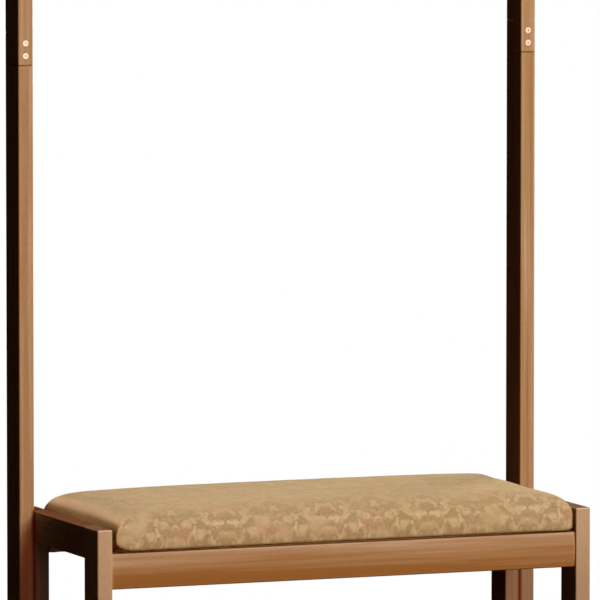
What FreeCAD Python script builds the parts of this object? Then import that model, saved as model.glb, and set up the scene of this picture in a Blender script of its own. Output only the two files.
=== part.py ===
import FreeCAD, Part
import math
import os
import re
import sys
import Sketcher

# A valet stand: a bench with a lift-out upholstered seat, and two tall posts behind it that
# carry a garment rod. Millimetres. X runs across the bench, -Y is the front, +Z is up, and
# the origin is on the floor under the middle of the stand.

doc = FreeCAD.newDocument("ValetStand")
sheet = doc.addObject("Spreadsheet::Sheet", "Sizes")

SIZES = [
    # the whole stand
    ("bench_width", 900, "over the outer faces of the legs"),
    ("bench_depth", 370, "front of the front legs to back of the rear legs"),
    ("leg_top", 430, "floor to the top of the legs"),
    ("post_top", 1780, "floor to the top of the posts"),
    ("joint_height", 1190.5, "floor to the front shoulder of the lap joint"),
    # the board that legs and posts are cut from
    ("board_thick", 27, ""),
    ("board_deep", 65, ""),
    ("edge_round", 3, "eased edge"),
    ("glide_high", 4, "floor glide under each leg and post"),
    ("glide_radius", 9, ""),
    ("glide_nail_radius", 1.25, ""),
    ("glide_nail_long", 16, ""),
    # lap joint of the posts
    ("lap_long", 53, ""),
    ("lap_bevel", 1, "small bevel that frames the joint line"),
    ("lap_screw_rise", 16, "shoulder to the first screw"),
    ("lap_screw_pitch", 21.5, ""),
    # seat frame
    ("seat_drop", 41.5, "leg tops down to the rail tops that carry the seat"),
    ("rail_thick", 22, ""),
    ("rail_setback", 3.5, "rail face behind the leg face"),
    ("front_rail_high", 60.5, ""),
    ("front_rail_bow", 2.5, "bulge of the front rail's face"),
    ("rear_rail_high", 36.5, ""),
    ("side_rail_high", 54, ""),
    ("block_past_leg", 10.5, "corner block past the leg, onto the side rail"),
    ("block_tip", 9, "blunt end of a corner block"),
    ("block_high", 30, ""),
    ("block_screw_place", 27, "corner to the screw"),
    ("block_screw_bed", 22, "wood under the head of the screw"),
    ("block_screw_offset", 6, "screw above or below the middle of the block"),
    ("block_screw_long", 40, ""),
    ("access_play", 0.5, "round the head of the screw in its counterbore"),
    ("cleat_wide", 20, ""),
    ("cleat_high", 12, ""),
    ("cleat_play", 3, "cleat end to the corner block"),
    ("cleat_screw_inset", 22, ""),
    # shoe shelf
    ("stretcher_thick", 22, ""),
    ("stretcher_high", 40, ""),
    ("stretcher_base", 84, "floor to the underside of the stretchers"),
    ("slat_wide", 45, ""),
    ("slat_thick", 15, ""),
    # top of the posts
    ("top_rail_high", 65, ""),
    ("rod_radius", 14, ""),
    ("rod_drop", 46, "underside of the top rail to the middle of the rod"),
    ("rod_socket", 12, "depth of the socket in each post"),
    ("rod_play", 0.25, "between the rod and its socket"),
    # lift-out seat
    ("seat_side_gap", 7, "seat to the inner face of the legs"),
    ("seat_set_in", 2, "seat behind the face of the legs, front and back"),
    ("seat_rest_gap", 0.3, "seat above the rails"),
    ("seat_rise", 36, "leg tops up to the top of the seat"),
    ("seat_corner", 30, "corner radius in plan"),
    ("seat_shoulder", 22, "radius of the top edge"),
    ("seat_foot", 4, "radius of the bottom edge"),
    ("ply_thick", 9, ""),
    ("ply_inset", 6, "seat face to the plywood's edge"),
    ("lining_thick", 1, ""),
    ("stop_long", 60, "block under the seat that finds the rails"),
    ("stop_wide", 18, ""),
    ("stop_high", 14, ""),
    ("stop_play", 2, "block to the rail"),
    ("stop_place", 250, "middle of the seat to the middle of a block"),
    # dowels
    ("dowel_radius", 4, ""),
    ("dowel_side_long", 40, "dowels that run front to back"),
    ("dowel_cross_long", 28, "dowels that run across"),
    ("dowel_end_play", 1, ""),
    ("front_dowel_pitch", 32, ""),
    ("rear_dowel_pitch", 18, ""),
    ("side_dowel_pitch", 28, ""),
    ("stretcher_dowel_pitch", 20, ""),
    ("thread_play", 0.05, "between a fastener and its hole"),
    # countersunk machine screws of the lap joint
    ("lap_screw_head", 5, "radius"),
    ("lap_screw_shank", 2.5, "radius"),
    ("lap_screw_sink", 2.8, "height of the cone"),
    ("lap_screw_long", 46, ""),
    ("lap_insert_radius", 4, ""),
    ("lap_insert_long", 15, ""),
    # bolts that hold the posts to the rear legs
    ("leg_bolt_head", 8, "radius"),
    ("leg_bolt_head_high", 2.5, ""),
    ("leg_bolt_shank", 4, "radius"),
    ("leg_bolt_long", 42, "under the head"),
    ("leg_bolt_upper", 23, "leg tops down to the upper bolt"),
    ("leg_bolt_lower", 180, "floor to the lower bolt"),
    ("leg_insert_radius", 5.5, ""),
    ("leg_insert_long", 17, ""),
    # bolts and barrel nuts of the top rail
    ("top_bolt_head", 7, "radius"),
    ("top_bolt_head_high", 2.2, ""),
    ("top_bolt_shank", 3, "radius"),
    ("top_bolt_long", 68, "under the head"),
    ("barrel_radius", 5, ""),
    ("barrel_long", 15, ""),
    ("barrel_place", 32, "end of the top rail to the barrel nut"),
    ("top_joint_pitch", 32, "bolt down to the dowel"),
    # wood screws
    ("screw_head", 4, "radius"),
    ("screw_shank", 2, "radius"),
    ("screw_sink", 2.4, "height of the cone"),
    ("screw_long", 32, ""),
    ("rod_screw_long", 50, ""),
    ("socket_across", 2, "radius of the hexagon socket of a screw"),
    ("cap_socket", 2.6, "radius of the hexagon socket of a bolt"),
    ("cap_bevel", 0.8, "bevel round the head of a bolt"),
    ("socket_deep", 2, ""),
]

KNOWN = set(alias for alias, value, note in SIZES)
for row, (alias, value, note) in enumerate(SIZES, start=1):
    sheet.set("A%d" % row, alias.replace("_", " "))
    sheet.set("B%d" % row, str(value))
    sheet.set("C%d" % row, note)
    sheet.setAlias("B%d" % row, alias)
doc.recompute()

# ---------------------------------------------------------------- small helpers

SIDES = (("left", "-1"), ("right", "1"))
ENDS = (("front", "-1"), ("rear", "1"))
VECTOR = {
    "+X": FreeCAD.Vector(1, 0, 0),
    "-X": FreeCAD.Vector(-1, 0, 0),
    "+Y": FreeCAD.Vector(0, 1, 0),
    "-Y": FreeCAD.Vector(0, -1, 0),
    "+Z": FreeCAD.Vector(0, 0, 1),
    "-Z": FreeCAD.Vector(0, 0, -1),
}
INWARD = {"-1": "+X", "1": "-X"}
OUTWARD = {"-1": "-X", "1": "+X"}
ENDWARD = {"-1": "-Y", "1": "+Y"}
OPPOSITE = {"+X": "-X", "-X": "+X", "+Y": "-Y", "-Y": "+Y"}
nodes = []


def cells(text):
    # names the sheet's cells in an expression
    return re.sub(r"[a-z_]+", lambda word: ("Sizes." if word[0] in KNOWN else "") + word[0], text)


def bind(thing, settings):
    for name, text in settings.items():
        thing.setExpression(name, cells(text))


def times(sign, text):
    return "%s * (%s)" % (sign, text)


def place(thing, at, into="+Z"):
    # puts a piece's own origin at a point, with its own +Z turned into a direction
    turn = FreeCAD.Rotation(VECTOR["+Z"], VECTOR[into])
    thing.Placement = FreeCAD.Placement(FreeCAD.Vector(), turn)
    bind(thing, {"Placement.Base." + axis: text for axis, text in zip("xyz", at)})
    return thing


def keep(thing, label):
    # a finished sub-part: its label is its file's name
    thing.Label = label
    nodes.append(thing)
    return thing


def originPlane(body, role):
    return [plane for plane in body.Origin.OriginFeatures if plane.Role == role][0]


def newSketch(body, name, role):
    sketch = body.newObject("Sketcher::SketchObject", name)
    sketch.AttachmentSupport = [(originPlane(body, role), "")]
    sketch.MapMode = "FlatFace"
    return sketch


def pin(sketch, point, at):
    # fixes one end of a line by its two distances from the sketch's origin
    for kind, text in zip(("DistanceX", "DistanceY"), at):
        number = sketch.addConstraint(Sketcher.Constraint(kind, -1, 1, point, 1, 1.0))
        bind(sketch, {"Constraints[%d]" % number: text})


def outline(body, name, role, corners):
    # a closed outline of straight lines through corners given as pairs of expressions
    sketch = newSketch(body, name, role)
    spots = [FreeCAD.Vector(valueOf(across), valueOf(up), 0) for across, up in corners]
    count = len(corners)
    for i in range(count):
        sketch.addGeometry(Part.LineSegment(spots[i], spots[(i + 1) % count]), False)
    for i in range(count):
        sketch.addConstraint(Sketcher.Constraint("Coincident", i, 2, (i + 1) % count, 1))
    for i in range(count):
        pin(sketch, i, corners[i])
    return sketch


def valueOf(text):
    # the number that an expression gives now, to start a sketch near its true shape
    found = sheet.evalExpression(cells(text))
    return float(getattr(found, "Value", found))


def rectangle(body, name, role, low, high):
    corners = [(low[0], low[1]), (high[0], low[1]), (high[0], high[1]), (low[0], high[1])]
    return outline(body, name, role, corners)


def newBody(name):
    return doc.addObject("PartDesign::Body", name)


def padBothWays(body, sketch, length):
    pad = body.newObject("PartDesign::Pad", "Pad")
    pad.Profile = sketch
    pad.Midplane = True
    bind(pad, {"Length": length})
    doc.recompute()
    return pad


def ease(body, base, picks, radius):
    # rounds the edges of the last feature that a test picks by their two ends
    names = []
    for number, edge in enumerate(base.Shape.Edges, start=1):
        ends = [vertex.Point for vertex in edge.Vertexes]
        if len(ends) == 2 and picks(ends[0], ends[1]):
            names.append("Edge%d" % number)
    fillet = body.newObject("PartDesign::Fillet", "Eased")
    fillet.Base = (base, names)
    bind(fillet, {"Radius": radius})
    doc.recompute()
    return fillet


SECTION = {"X": ("YZ_Plane", 1, 2), "Y": ("XZ_Plane", 0, 2), "Z": ("XY_Plane", 0, 1)}


def board(name, run, size, middle, alsoEase=None):
    # a straight board with eased long edges, its own origin at its middle
    role, first, second = SECTION[run]
    low = ("-(%s) / 2" % size[first], "-(%s) / 2" % size[second])
    high = ("(%s) / 2" % size[first], "(%s) / 2" % size[second])
    body = newBody(name)
    sketch = rectangle(body, "Section", role, low, high)
    pad = padBothWays(body, sketch, size["XYZ".index(run)])
    along = VECTOR["+" + run]

    def picks(one, other):
        gap = other - one
        isLong = gap.Length > 0 and abs(abs(gap.dot(along)) - gap.Length) < 0.001
        return isLong or (alsoEase is not None and alsoEase(one, other))

    ease(body, pad, picks, "edge_round")
    return place(body, middle)


def cylinder(name, radius, length, at, into):
    # starts at a point and runs into a direction
    rod = doc.addObject("Part::Cylinder", name)
    bind(rod, {"Radius": radius, "Height": length})
    return place(rod, at, into)


def hole(at, into, radius, length):
    return cylinder("Hole", radius + " + thread_play", length, at, into)


def sink(at, into, head, shank, high):
    # the cone that a countersunk head sits in
    cone = doc.addObject("Part::Cone", "Sink")
    bind(cone, {"Radius1": head + " + thread_play", "Radius2": shank + " + thread_play", "Height": high})
    return place(cone, at, into)


def fuse(name, shapes):
    joined = doc.addObject("Part::MultiFuse", name)
    joined.Shapes = shapes
    return joined


def cut(name, base, tools):
    left = doc.addObject("Part::Cut", name)
    left.Base = base
    left.Tool = tools[0] if len(tools) == 1 else fuse("Tools", tools)
    return left


def group(label, pieces):
    # like pieces that share one node
    together = doc.addObject("Part::Compound", "Group")
    together.Links = pieces
    return keep(together, label)


def shifted(at, axis, text):
    moved = list(at)
    moved["XYZ".index(axis)] = "%s + (%s)" % (moved["XYZ".index(axis)], text)
    return tuple(moved)


# ---------------------------------------------------------------- fasteners

def socket(radius, start):
    # the hexagon socket that a key turns
    prism = doc.addObject("Part::Prism", "Socket")
    prism.Polygon = 6
    bind(prism, {"Circumradius": radius, "Height": "socket_deep"})
    return place(prism, ("0", "0", start))


def sunkScrew(at, into, head, shank, high, length):
    # a countersunk screw whose head is flush with the surface at its point
    cone = doc.addObject("Part::Cone", "Head")
    bind(cone, {"Radius1": head, "Radius2": shank, "Height": high})
    stem = cylinder("Stem", shank, "%s - %s" % (length, high), ("0", "0", high), "+Z")
    prism = socket("socket_across", "0")
    return place(cut("Screw", fuse("Solid", [cone, stem]), [prism]), at, into)


def capBolt(at, into, head, high, shank, length):
    # a bolt with a low round head that stands on the surface at its point
    crown = doc.addObject("Part::Cone", "Crown")
    bind(crown, {"Radius1": head + " - cap_bevel", "Radius2": head, "Height": "cap_bevel"})
    place(crown, ("0", "0", "-(%s)" % high))
    cap = cylinder("Cap", head, high + " - cap_bevel", ("0", "0", "cap_bevel - " + high), "+Z")
    stem = cylinder("Stem", shank, length, ("0", "0", "0"), "+Z")
    prism = socket("cap_socket", "-(%s)" % high)
    return place(cut("Bolt", fuse("Solid", [crown, cap, stem]), [prism]), at, into)


def threadedInsert(at, into, radius, length, bore):
    # a tube that starts at a point and runs into a direction
    tube = doc.addObject("Part::Cylinder", "Tube")
    bind(tube, {"Radius": radius, "Height": length})
    core = doc.addObject("Part::Cylinder", "Core")
    bind(core, {"Radius": bore + " + thread_play", "Height": length})
    return place(cut("Insert", tube, [core]), at, into)


def woodScrew(at, into, length="screw_long"):
    return sunkScrew(at, into, "screw_head", "screw_shank", "screw_sink", length)


def woodScrewHole(at, into, length="screw_long"):
    # the clearance for a wood screw in every board that it passes
    return [sink(at, into, "screw_head", "screw_shank", "screw_sink"),
            hole(at, into, "screw_shank", length + " + dowel_end_play")]


def dowel(at, axis, length):
    # a dowel centred on a point
    start = shifted(at, axis, "-(%s) / 2" % length)
    return cylinder("Dowel", "dowel_radius", length, start, "+" + axis)


def dowelHole(at, axis, length):
    span = "%s + 2 * dowel_end_play" % length
    start = shifted(at, axis, "-(%s) / 2" % span)
    return hole(start, "+" + axis, "dowel_radius", span)


# ---------------------------------------------------------------- places shared by the pieces

legX = "(bench_width - board_thick) / 2"
postX = "(bench_width + board_thick) / 2"
innerX = "bench_width / 2 - board_thick"
legY = "(bench_depth - board_deep) / 2"
railLong = "bench_width - 2 * board_thick"
sideLong = "bench_depth - 2 * board_deep"
seatFloor = "leg_top - seat_drop"
frontRailZ = "leg_top - seat_drop - front_rail_high / 2"
rearRailZ = "leg_top - seat_drop - rear_rail_high / 2"
sideRailZ = "leg_top - side_rail_high / 2"
stretcherZ = "stretcher_base + stretcher_high / 2"
slatFloor = "stretcher_base + stretcher_high"
frontRailY = "-(bench_depth / 2 - rail_setback - rail_thick / 2)"
rearRailY = "bench_depth / 2 - rail_setback - rail_thick / 2"
topRailZ = "post_top - top_rail_high / 2"
rodZ = "post_top - top_rail_high - rod_drop"
railBackY = "bench_depth / 2 - rail_setback - rail_thick"
blockSide = "board_deep - rail_setback - rail_thick + block_past_leg"
cleatLong = "2 * (%s - (%s) - cleat_play)" % (railBackY, blockSide)
slatPitch = "(%s) / 3" % sideLong
topBoltZ = topRailZ + " + top_joint_pitch / 2"
topDowelZ = topRailZ + " - top_joint_pitch / 2"

PAIR = ("-1", "1")
ROWS = ("-1", "0", "1")


def pairOf(at, axis, pitch):
    return [shifted(at, axis, times(sign, "%s / 2" % pitch)) for sign in PAIR]


def sideRailDowels(side, end):
    seam = (times(side, legX), times(end, "(%s) / 2" % sideLong), sideRailZ)
    return pairOf(seam, "Z", "side_dowel_pitch")


def stretcherDowels(side, end):
    seam = (times(side, legX), times(end, "(%s) / 2" % sideLong), stretcherZ)
    return pairOf(seam, "Z", "stretcher_dowel_pitch")


def crossRailDowels(side, end):
    y, z, pitch = {"-1": (frontRailY, frontRailZ, "front_dowel_pitch"),
                   "1": (rearRailY, rearRailZ, "rear_dowel_pitch")}[end]
    return pairOf((times(side, innerX), y, z), "Z", pitch)


def legBoltPlaces(side):
    face = times(side, innerX)
    return [(face, legY, "leg_top - leg_bolt_upper"), (face, legY, "leg_bolt_lower")]


def blockScrews(side, end):
    # each corner block takes one screw into the leg and one into the rail: place, direction
    middle = seatFloor + " - block_high / 2"
    legScrew = (times(side, innerX + " - block_screw_bed"),
                times(end, railBackY + " - block_screw_place"),
                middle + " + block_screw_offset")
    railScrew = (times(side, innerX + " - block_screw_place"),
                 times(end, railBackY + " - block_screw_bed"),
                 middle + " - block_screw_offset")
    return [(legScrew, OUTWARD[side]), (railScrew, ENDWARD[end])]


def cleatScrews(side):
    face = times(side, innerX + " - cleat_wide")
    height = seatFloor + " - cleat_high / 2"
    reach = "(%s) / 2 - cleat_screw_inset" % cleatLong
    return [(face, times(row, reach), height) for row in ROWS]


def slatScrew(side, row):
    # through the slat into the middle of the stretcher under it
    return (times(side, legX), times(row, slatPitch), slatFloor + " + slat_thick")


def glidePlaces():
    spots = []
    for side in PAIR:
        spots += [(times(side, legX), times(end, legY), "0") for end in PAIR]
        spots.append((times(side, postX), legY, "0"))
    return spots


def nailHole(spot):
    return hole(shifted(spot, "Z", "glide_high"), "+Z", "glide_nail_radius", "glide_nail_long")


# ---------------------------------------------------------------- bench

def makeLegs():
    for sideName, side in SIDES:
        for endName, end in ENDS:
            away = float(end)

            def topRim(one, other, away=away):
                # the top end, but not where the side rail meets it flush
                high = valueOf("(leg_top - glide_high) / 2") - 0.001
                meets = one.y * away < 0 and other.y * away < 0
                return one.z > high and other.z > high and not meets

            size = ("board_thick", "board_deep", "leg_top - glide_high")
            middle = (times(side, legX), times(end, legY), "(leg_top + glide_high) / 2")
            blank = board("LegBoard", "Z", size, middle, topRim)
            tools = [nailHole((times(side, legX), times(end, legY), "0"))]
            tools += [dowelHole(spot, "Y", "dowel_side_long")
                      for spot in sideRailDowels(side, end) + stretcherDowels(side, end)]
            tools += [dowelHole(spot, "X", "dowel_cross_long")
                      for spot in crossRailDowels(side, end)]
            at, into = blockScrews(side, end)[0]
            tools += woodScrewHole(at, into, "block_screw_long")
            if endName == "rear":
                tools += [hole(spot, OUTWARD[side], "leg_bolt_shank", "board_thick")
                          for spot in legBoltPlaces(side)]
            keep(cut("Leg", blank, tools), "%s_leg_%s" % (endName, sideName))


def makeSideRails():
    for sideName, side in SIDES:
        size = ("board_thick", sideLong, "side_rail_high")
        blank = board("SideRailBoard", "Y", size, (times(side, legX), "0", sideRailZ))
        tools = [dowelHole(spot, "Y", "dowel_side_long")
                 for end in PAIR for spot in sideRailDowels(side, end)]
        for spot in cleatScrews(side):
            tools += woodScrewHole(spot, OUTWARD[side])
        keep(cut("SideRail", blank, tools), "side_rail_%s" % sideName)


def makeStretchers():
    for sideName, side in SIDES:
        size = ("stretcher_thick", sideLong, "stretcher_high")
        blank = board("StretcherBoard", "Y", size, (times(side, legX), "0", stretcherZ))
        tools = [dowelHole(spot, "Y", "dowel_side_long")
                 for end in PAIR for spot in stretcherDowels(side, end)]
        for row in ROWS:
            tools += woodScrewHole(slatScrew(side, row), "-Z")
        keep(cut("Stretcher", blank, tools), "lower_stretcher_%s" % sideName)


def makeFrontRail():
    # the face bows out a little between its top and bottom edges
    body = newBody("FrontRailBoard")
    sketch = newSketch(body, "Section", "YZ_Plane")
    high = "front_rail_high / 2"
    front = "-(rail_thick / 2 - front_rail_bow)"
    bowRadius = "(front_rail_high ^ 2 / 4 + front_rail_bow ^ 2) / (2 * front_rail_bow)"
    corners = [(front, high), ("rail_thick / 2", high), ("rail_thick / 2", "-" + high)]
    spots = [FreeCAD.Vector(valueOf(across), valueOf(up), 0) for across, up in corners]
    spots.append(FreeCAD.Vector(spots[0].x, -spots[0].y, 0))
    for i in range(3):
        sketch.addGeometry(Part.LineSegment(spots[i], spots[i + 1]), False)
    radius = valueOf(bowRadius)
    half = math.asin(spots[0].y / radius)
    circle = Part.Circle(FreeCAD.Vector(radius - spots[1].x, 0, 0), VECTOR["+Z"], radius)
    sketch.addGeometry(Part.ArcOfCircle(circle, math.pi - half, math.pi + half), False)
    for i in range(3):
        sketch.addConstraint(Sketcher.Constraint("Coincident", i, 2, i + 1, 1 if i < 2 else 2))
        pin(sketch, i, corners[i])
    sketch.addConstraint(Sketcher.Constraint("Coincident", 3, 1, 0, 1))
    sketch.addConstraint(Sketcher.Constraint("Horizontal", 2))
    number = sketch.addConstraint(Sketcher.Constraint("Radius", 3, radius))
    bind(sketch, {"Constraints[%d]" % number: bowRadius})
    doc.recompute()
    pad = padBothWays(body, sketch, railLong)

    def isLong(one, other):
        return abs(one.y - other.y) < 0.001 and abs(one.z - other.z) < 0.001

    ease(body, pad, isLong, "edge_round")
    place(body, ("0", frontRailY, frontRailZ))
    finishCrossRail(body, "front_rail", "-1")


def makeRearRail():
    size = (railLong, "rail_thick", "rear_rail_high")
    blank = board("RearRailBoard", "X", size, ("0", rearRailY, rearRailZ))
    finishCrossRail(blank, "rear_rail", "1")


def finishCrossRail(blank, label, end):
    # the dowel and corner block holes at both ends of a rail that runs across
    tools = []
    for side in PAIR:
        tools += [dowelHole(spot, "X", "dowel_cross_long") for spot in crossRailDowels(side, end)]
        at, into = blockScrews(side, end)[1]
        tools += woodScrewHole(at, into, "block_screw_long")
    keep(cut("CrossRail", blank, tools), label)


def makeCornerBlocks():
    for sideName, side in SIDES:
        for endName, end in ENDS:
            body = newBody("BlockBlank")
            deep = times(end, "-(%s)" % blockSide)
            wide = times(side, "-(%s)" % blockSide)
            tipX = times(side, "-block_tip")
            tipY = times(end, "-block_tip")
            corners = [("0", "0"), (wide, "0"), (wide, tipY), (tipX, deep), ("0", deep)]
            sketch = outline(body, "Plan", "XY_Plane", corners)
            padBothWays(body, sketch, "block_high")
            middle = (times(side, innerX), times(end, railBackY), seatFloor + " - block_high / 2")
            place(body, middle)
            tools = []
            for at, into in blockScrews(side, end):
                tools.append(cylinder("Access", "screw_head + access_play", blockSide, at, OPPOSITE[into]))
                tools += woodScrewHole(at, into, "block_screw_long")
            keep(cut("CornerBlock", body, tools), "corner_block_%s_%s" % (endName, sideName))


def makeCleats():
    for sideName, side in SIDES:
        size = ("cleat_wide", cleatLong, "cleat_high")
        middle = (times(side, innerX + " - cleat_wide / 2"), "0", seatFloor + " - cleat_high / 2")
        body = newBody("CleatBlank")
        sketch = rectangle(body, "Section", "XZ_Plane", ("-cleat_wide / 2", "-cleat_high / 2"),
                           ("cleat_wide / 2", "cleat_high / 2"))
        padBothWays(body, sketch, size[1])
        place(body, middle)
        tools = []
        for spot in cleatScrews(side):
            tools += woodScrewHole(spot, OUTWARD[side])
        keep(cut("Cleat", body, tools), "seat_cleat_%s" % sideName)


def makeShoeSlats():
    long = "bench_width - (board_thick - stretcher_thick)"
    for name, row in zip(("front", "middle", "rear"), ROWS):
        middle = ("0", times(row, slatPitch), slatFloor + " + slat_thick / 2")
        blank = board("SlatBoard", "X", (long, "slat_wide", "slat_thick"), middle)
        tools = []
        for side in PAIR:
            tools += woodScrewHole(slatScrew(side, row), "-Z")
        keep(cut("Slat", blank, tools), "shoe_slat_%s" % name)


# ---------------------------------------------------------------- posts and what they carry

def lapScrewPlaces(side):
    face = "%s - board_deep / 2" % legY
    low = "joint_height + lap_screw_rise"
    return [(times(side, postX), face, low), (times(side, postX), face, low + " + lap_screw_pitch")]


def postBody(name, foot, top, notchLow, notchHigh, back):
    # a post section whose front or back half is cut away along the lap; heights above the floor
    body = newBody(name)
    sketch = rectangle(body, "Section", "XY_Plane", ("-board_thick / 2", "-board_deep / 2"),
                       ("board_thick / 2", "board_deep / 2"))
    pad = padBothWays(body, sketch, "%s - (%s)" % (top, foot))
    middle = "((%s) + (%s)) / 2" % (top, foot)
    high = valueOf("(%s - (%s)) / 2" % (top, foot)) - 0.001

    def picks(one, other):
        upright = abs(one.z - other.z) > 1
        return upright or (top == "post_top" and one.z > high and other.z > high)

    eased = ease(body, pad, picks, "edge_round")
    far = times("1" if back else "-1", "board_deep")
    low = ("0", "%s - %s" % (notchLow, middle))
    notch = rectangle(body, "Notch", "YZ_Plane", low, (far, "%s - %s" % (notchHigh, middle)))
    pocket = body.newObject("PartDesign::Pocket", "Lap")
    pocket.Profile = notch
    pocket.Midplane = True
    pocket.Type = "ThroughAll"
    doc.recompute()
    if pocket.Shape.Volume > eased.Shape.Volume - 1:
        sys.exit("the lap pocket of %s cuts nothing" % name)
    shoulder = valueOf("joint_height - %s" % middle)
    crown = valueOf("joint_height + lap_long - %s" % middle)

    def onRim(point):
        # around the joint line of the front half, or of the back half a lap higher
        front = abs(point.z - shoulder) < 0.001 and point.y < 0.001
        rear = abs(point.z - crown) < 0.001 and point.y > -0.001
        return front or rear

    names = []
    for number, edge in enumerate(pocket.Shape.Edges, start=1):
        outside = abs(edge.CenterOfMass.y) > 0.001
        if outside and onRim(edge.CenterOfMass) and all(onRim(end.Point) for end in edge.Vertexes):
            names.append("Edge%d" % number)
    chamfer = body.newObject("PartDesign::Chamfer", "Bevel")
    chamfer.Base = (pocket, names)
    bind(chamfer, {"Size": "lap_bevel"})
    doc.recompute()
    return body, middle


def makePosts():
    for sideName, side in SIDES:
        lower, middle = postBody("LowerPost", "glide_high", "joint_height + lap_long",
                                 "joint_height", "joint_height + 2 * lap_long", False)
        place(lower, (times(side, postX), legY, middle))
        tools = [nailHole((times(side, postX), legY, "0"))]
        for x, y, z in lapScrewPlaces(side):
            tools.append(hole((x, legY, z), "+Y", "lap_insert_radius", "lap_insert_long"))
        for x, y, z in legBoltPlaces(side):
            face = times(side, "bench_width / 2")
            tools.append(hole((face, y, z), OUTWARD[side], "leg_insert_radius", "leg_insert_long"))
        keep(cut("LowerPostCut", lower, tools), "lower_post_%s" % sideName)

        upper, middle = postBody("UpperPost", "joint_height", "post_top",
                                 "joint_height - lap_long", "joint_height + lap_long", True)
        place(upper, (times(side, postX), legY, middle))
        tools = []
        for spot in lapScrewPlaces(side):
            tools.append(sink(spot, "+Y", "lap_screw_head", "lap_screw_shank", "lap_screw_sink"))
            tools.append(hole(spot, "+Y", "lap_screw_shank", "board_deep / 2"))
        outer = times(side, "bench_width / 2 + board_thick")
        inner = times(side, "bench_width / 2")
        tools.append(hole((outer, legY, topBoltZ), INWARD[side], "top_bolt_shank", "board_thick"))
        tools.append(dowelHole((inner, legY, topDowelZ), "X", "dowel_cross_long"))
        tools.append(cylinder("Socket", "rod_radius + rod_play", "rod_socket",
                              (inner, legY, rodZ), OUTWARD[side]))
        tools.append(sink((outer, legY, rodZ), INWARD[side], "lap_screw_head", "lap_screw_shank",
                          "lap_screw_sink"))
        tools.append(hole((outer, legY, rodZ), INWARD[side], "lap_screw_shank", "board_thick"))
        keep(cut("UpperPostCut", upper, tools), "upper_post_%s" % sideName)


def barrelPlaces():
    y = "%s + rail_thick / 2" % legY
    return [(times(side, "bench_width / 2 - barrel_place"), y, topBoltZ) for side in PAIR]


def makeTopRail():
    size = ("bench_width", "rail_thick", "top_rail_high")
    blank = board("TopRailBoard", "X", size, ("0", legY, topRailZ))
    tools = []
    for side in PAIR:
        inner = times(side, "bench_width / 2")
        tools.append(hole((inner, legY, topBoltZ), INWARD[side], "top_bolt_shank",
                          "top_bolt_long - board_thick + dowel_end_play"))
        tools.append(dowelHole((inner, legY, topDowelZ), "X", "dowel_cross_long"))
    for spot in barrelPlaces():
        tools.append(hole(spot, "-Y", "barrel_radius", "(rail_thick + barrel_long) / 2"))
    keep(cut("TopRail", blank, tools), "top_rail")


def makeRod():
    half = "bench_width / 2 + rod_socket - dowel_end_play"
    blank = cylinder("Rod", "rod_radius", "2 * (%s)" % half, ("-(%s)" % half, legY, rodZ), "+X")
    tools = []
    for side in PAIR:
        outer = times(side, "bench_width / 2 + board_thick")
        tools.append(hole((outer, legY, rodZ), INWARD[side], "lap_screw_shank",
                          "rod_screw_long + dowel_end_play"))
    keep(cut("HangingRod", blank, tools), "hanging_rod")


# ---------------------------------------------------------------- lift-out seat

seatWide = "bench_width - 2 * board_thick - 2 * seat_side_gap"
seatDeep = "bench_depth - 2 * seat_set_in"
seatBottom = seatFloor + " + seat_rest_gap"
plyWide = "%s - 2 * ply_inset" % seatWide
plyDeep = "%s - 2 * ply_inset" % seatDeep


def slab(name, wide, deep, high, bottom, corner):
    # a flat panel with rounded corners in plan
    body = newBody(name)
    sketch = rectangle(body, "Plan", "XY_Plane", ("-(%s) / 2" % wide, "-(%s) / 2" % deep),
                       ("(%s) / 2" % wide, "(%s) / 2" % deep))
    pad = padBothWays(body, sketch, high)
    eased = ease(body, pad, lambda one, other: abs(one.z - other.z) > 0.5, corner)
    place(body, ("0", "0", "%s + (%s) / 2" % (bottom, high)))
    return body, eased


def makeSeat():
    high = "seat_rise + seat_drop - seat_rest_gap"
    body, eased = slab("CushionBlank", seatWide, seatDeep, high, seatBottom, "seat_corner")
    top = eased.Shape.BoundBox.ZMax - 0.001
    crown = [("Edge%d" % n) for n, edge in enumerate(eased.Shape.Edges, start=1)
             if edge.BoundBox.ZMin > top]
    shoulder = body.newObject("PartDesign::Fillet", "Shoulder")
    shoulder.Base = (eased, crown)
    bind(shoulder, {"Radius": "seat_shoulder"})
    doc.recompute()
    base = shoulder.Shape.BoundBox.ZMin + 0.001
    rim = [("Edge%d" % n) for n, edge in enumerate(shoulder.Shape.Edges, start=1)
           if edge.BoundBox.ZMax < base]
    foot = body.newObject("PartDesign::Fillet", "Foot")
    foot.Base = (shoulder, rim)
    bind(foot, {"Radius": "seat_foot"})
    doc.recompute()
    corner = "seat_corner - ply_inset"
    recess, ignored = slab("PlyRecess", plyWide, plyDeep, "ply_thick + lining_thick", seatBottom, corner)
    keep(cut("Cushion", body, [recess]), "seat_cushion")
    ply, ignored = slab("Plywood", plyWide, plyDeep, "ply_thick", seatBottom + " + lining_thick", corner)
    keep(ply, "seat_board")
    lining, ignored = slab("Lining", plyWide, plyDeep, "lining_thick", seatBottom, corner)
    keep(lining, "seat_lining")


def makeStopBlocks():
    # blocks under the seat that drop inside the rails, so it cannot slide forwards or back
    blocks = []
    for side in PAIR:
        for end in PAIR:
            y = times(end, railBackY + " - stop_play - stop_wide / 2")
            middle = (times(side, "stop_place"), y, seatBottom + " - stop_high / 2")
            blocks.append(board("StopBoard", "X", ("stop_long", "stop_wide", "stop_high"), middle))
    group("seat_stop_blocks", blocks)


# ---------------------------------------------------------------- fasteners in their places

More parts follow.
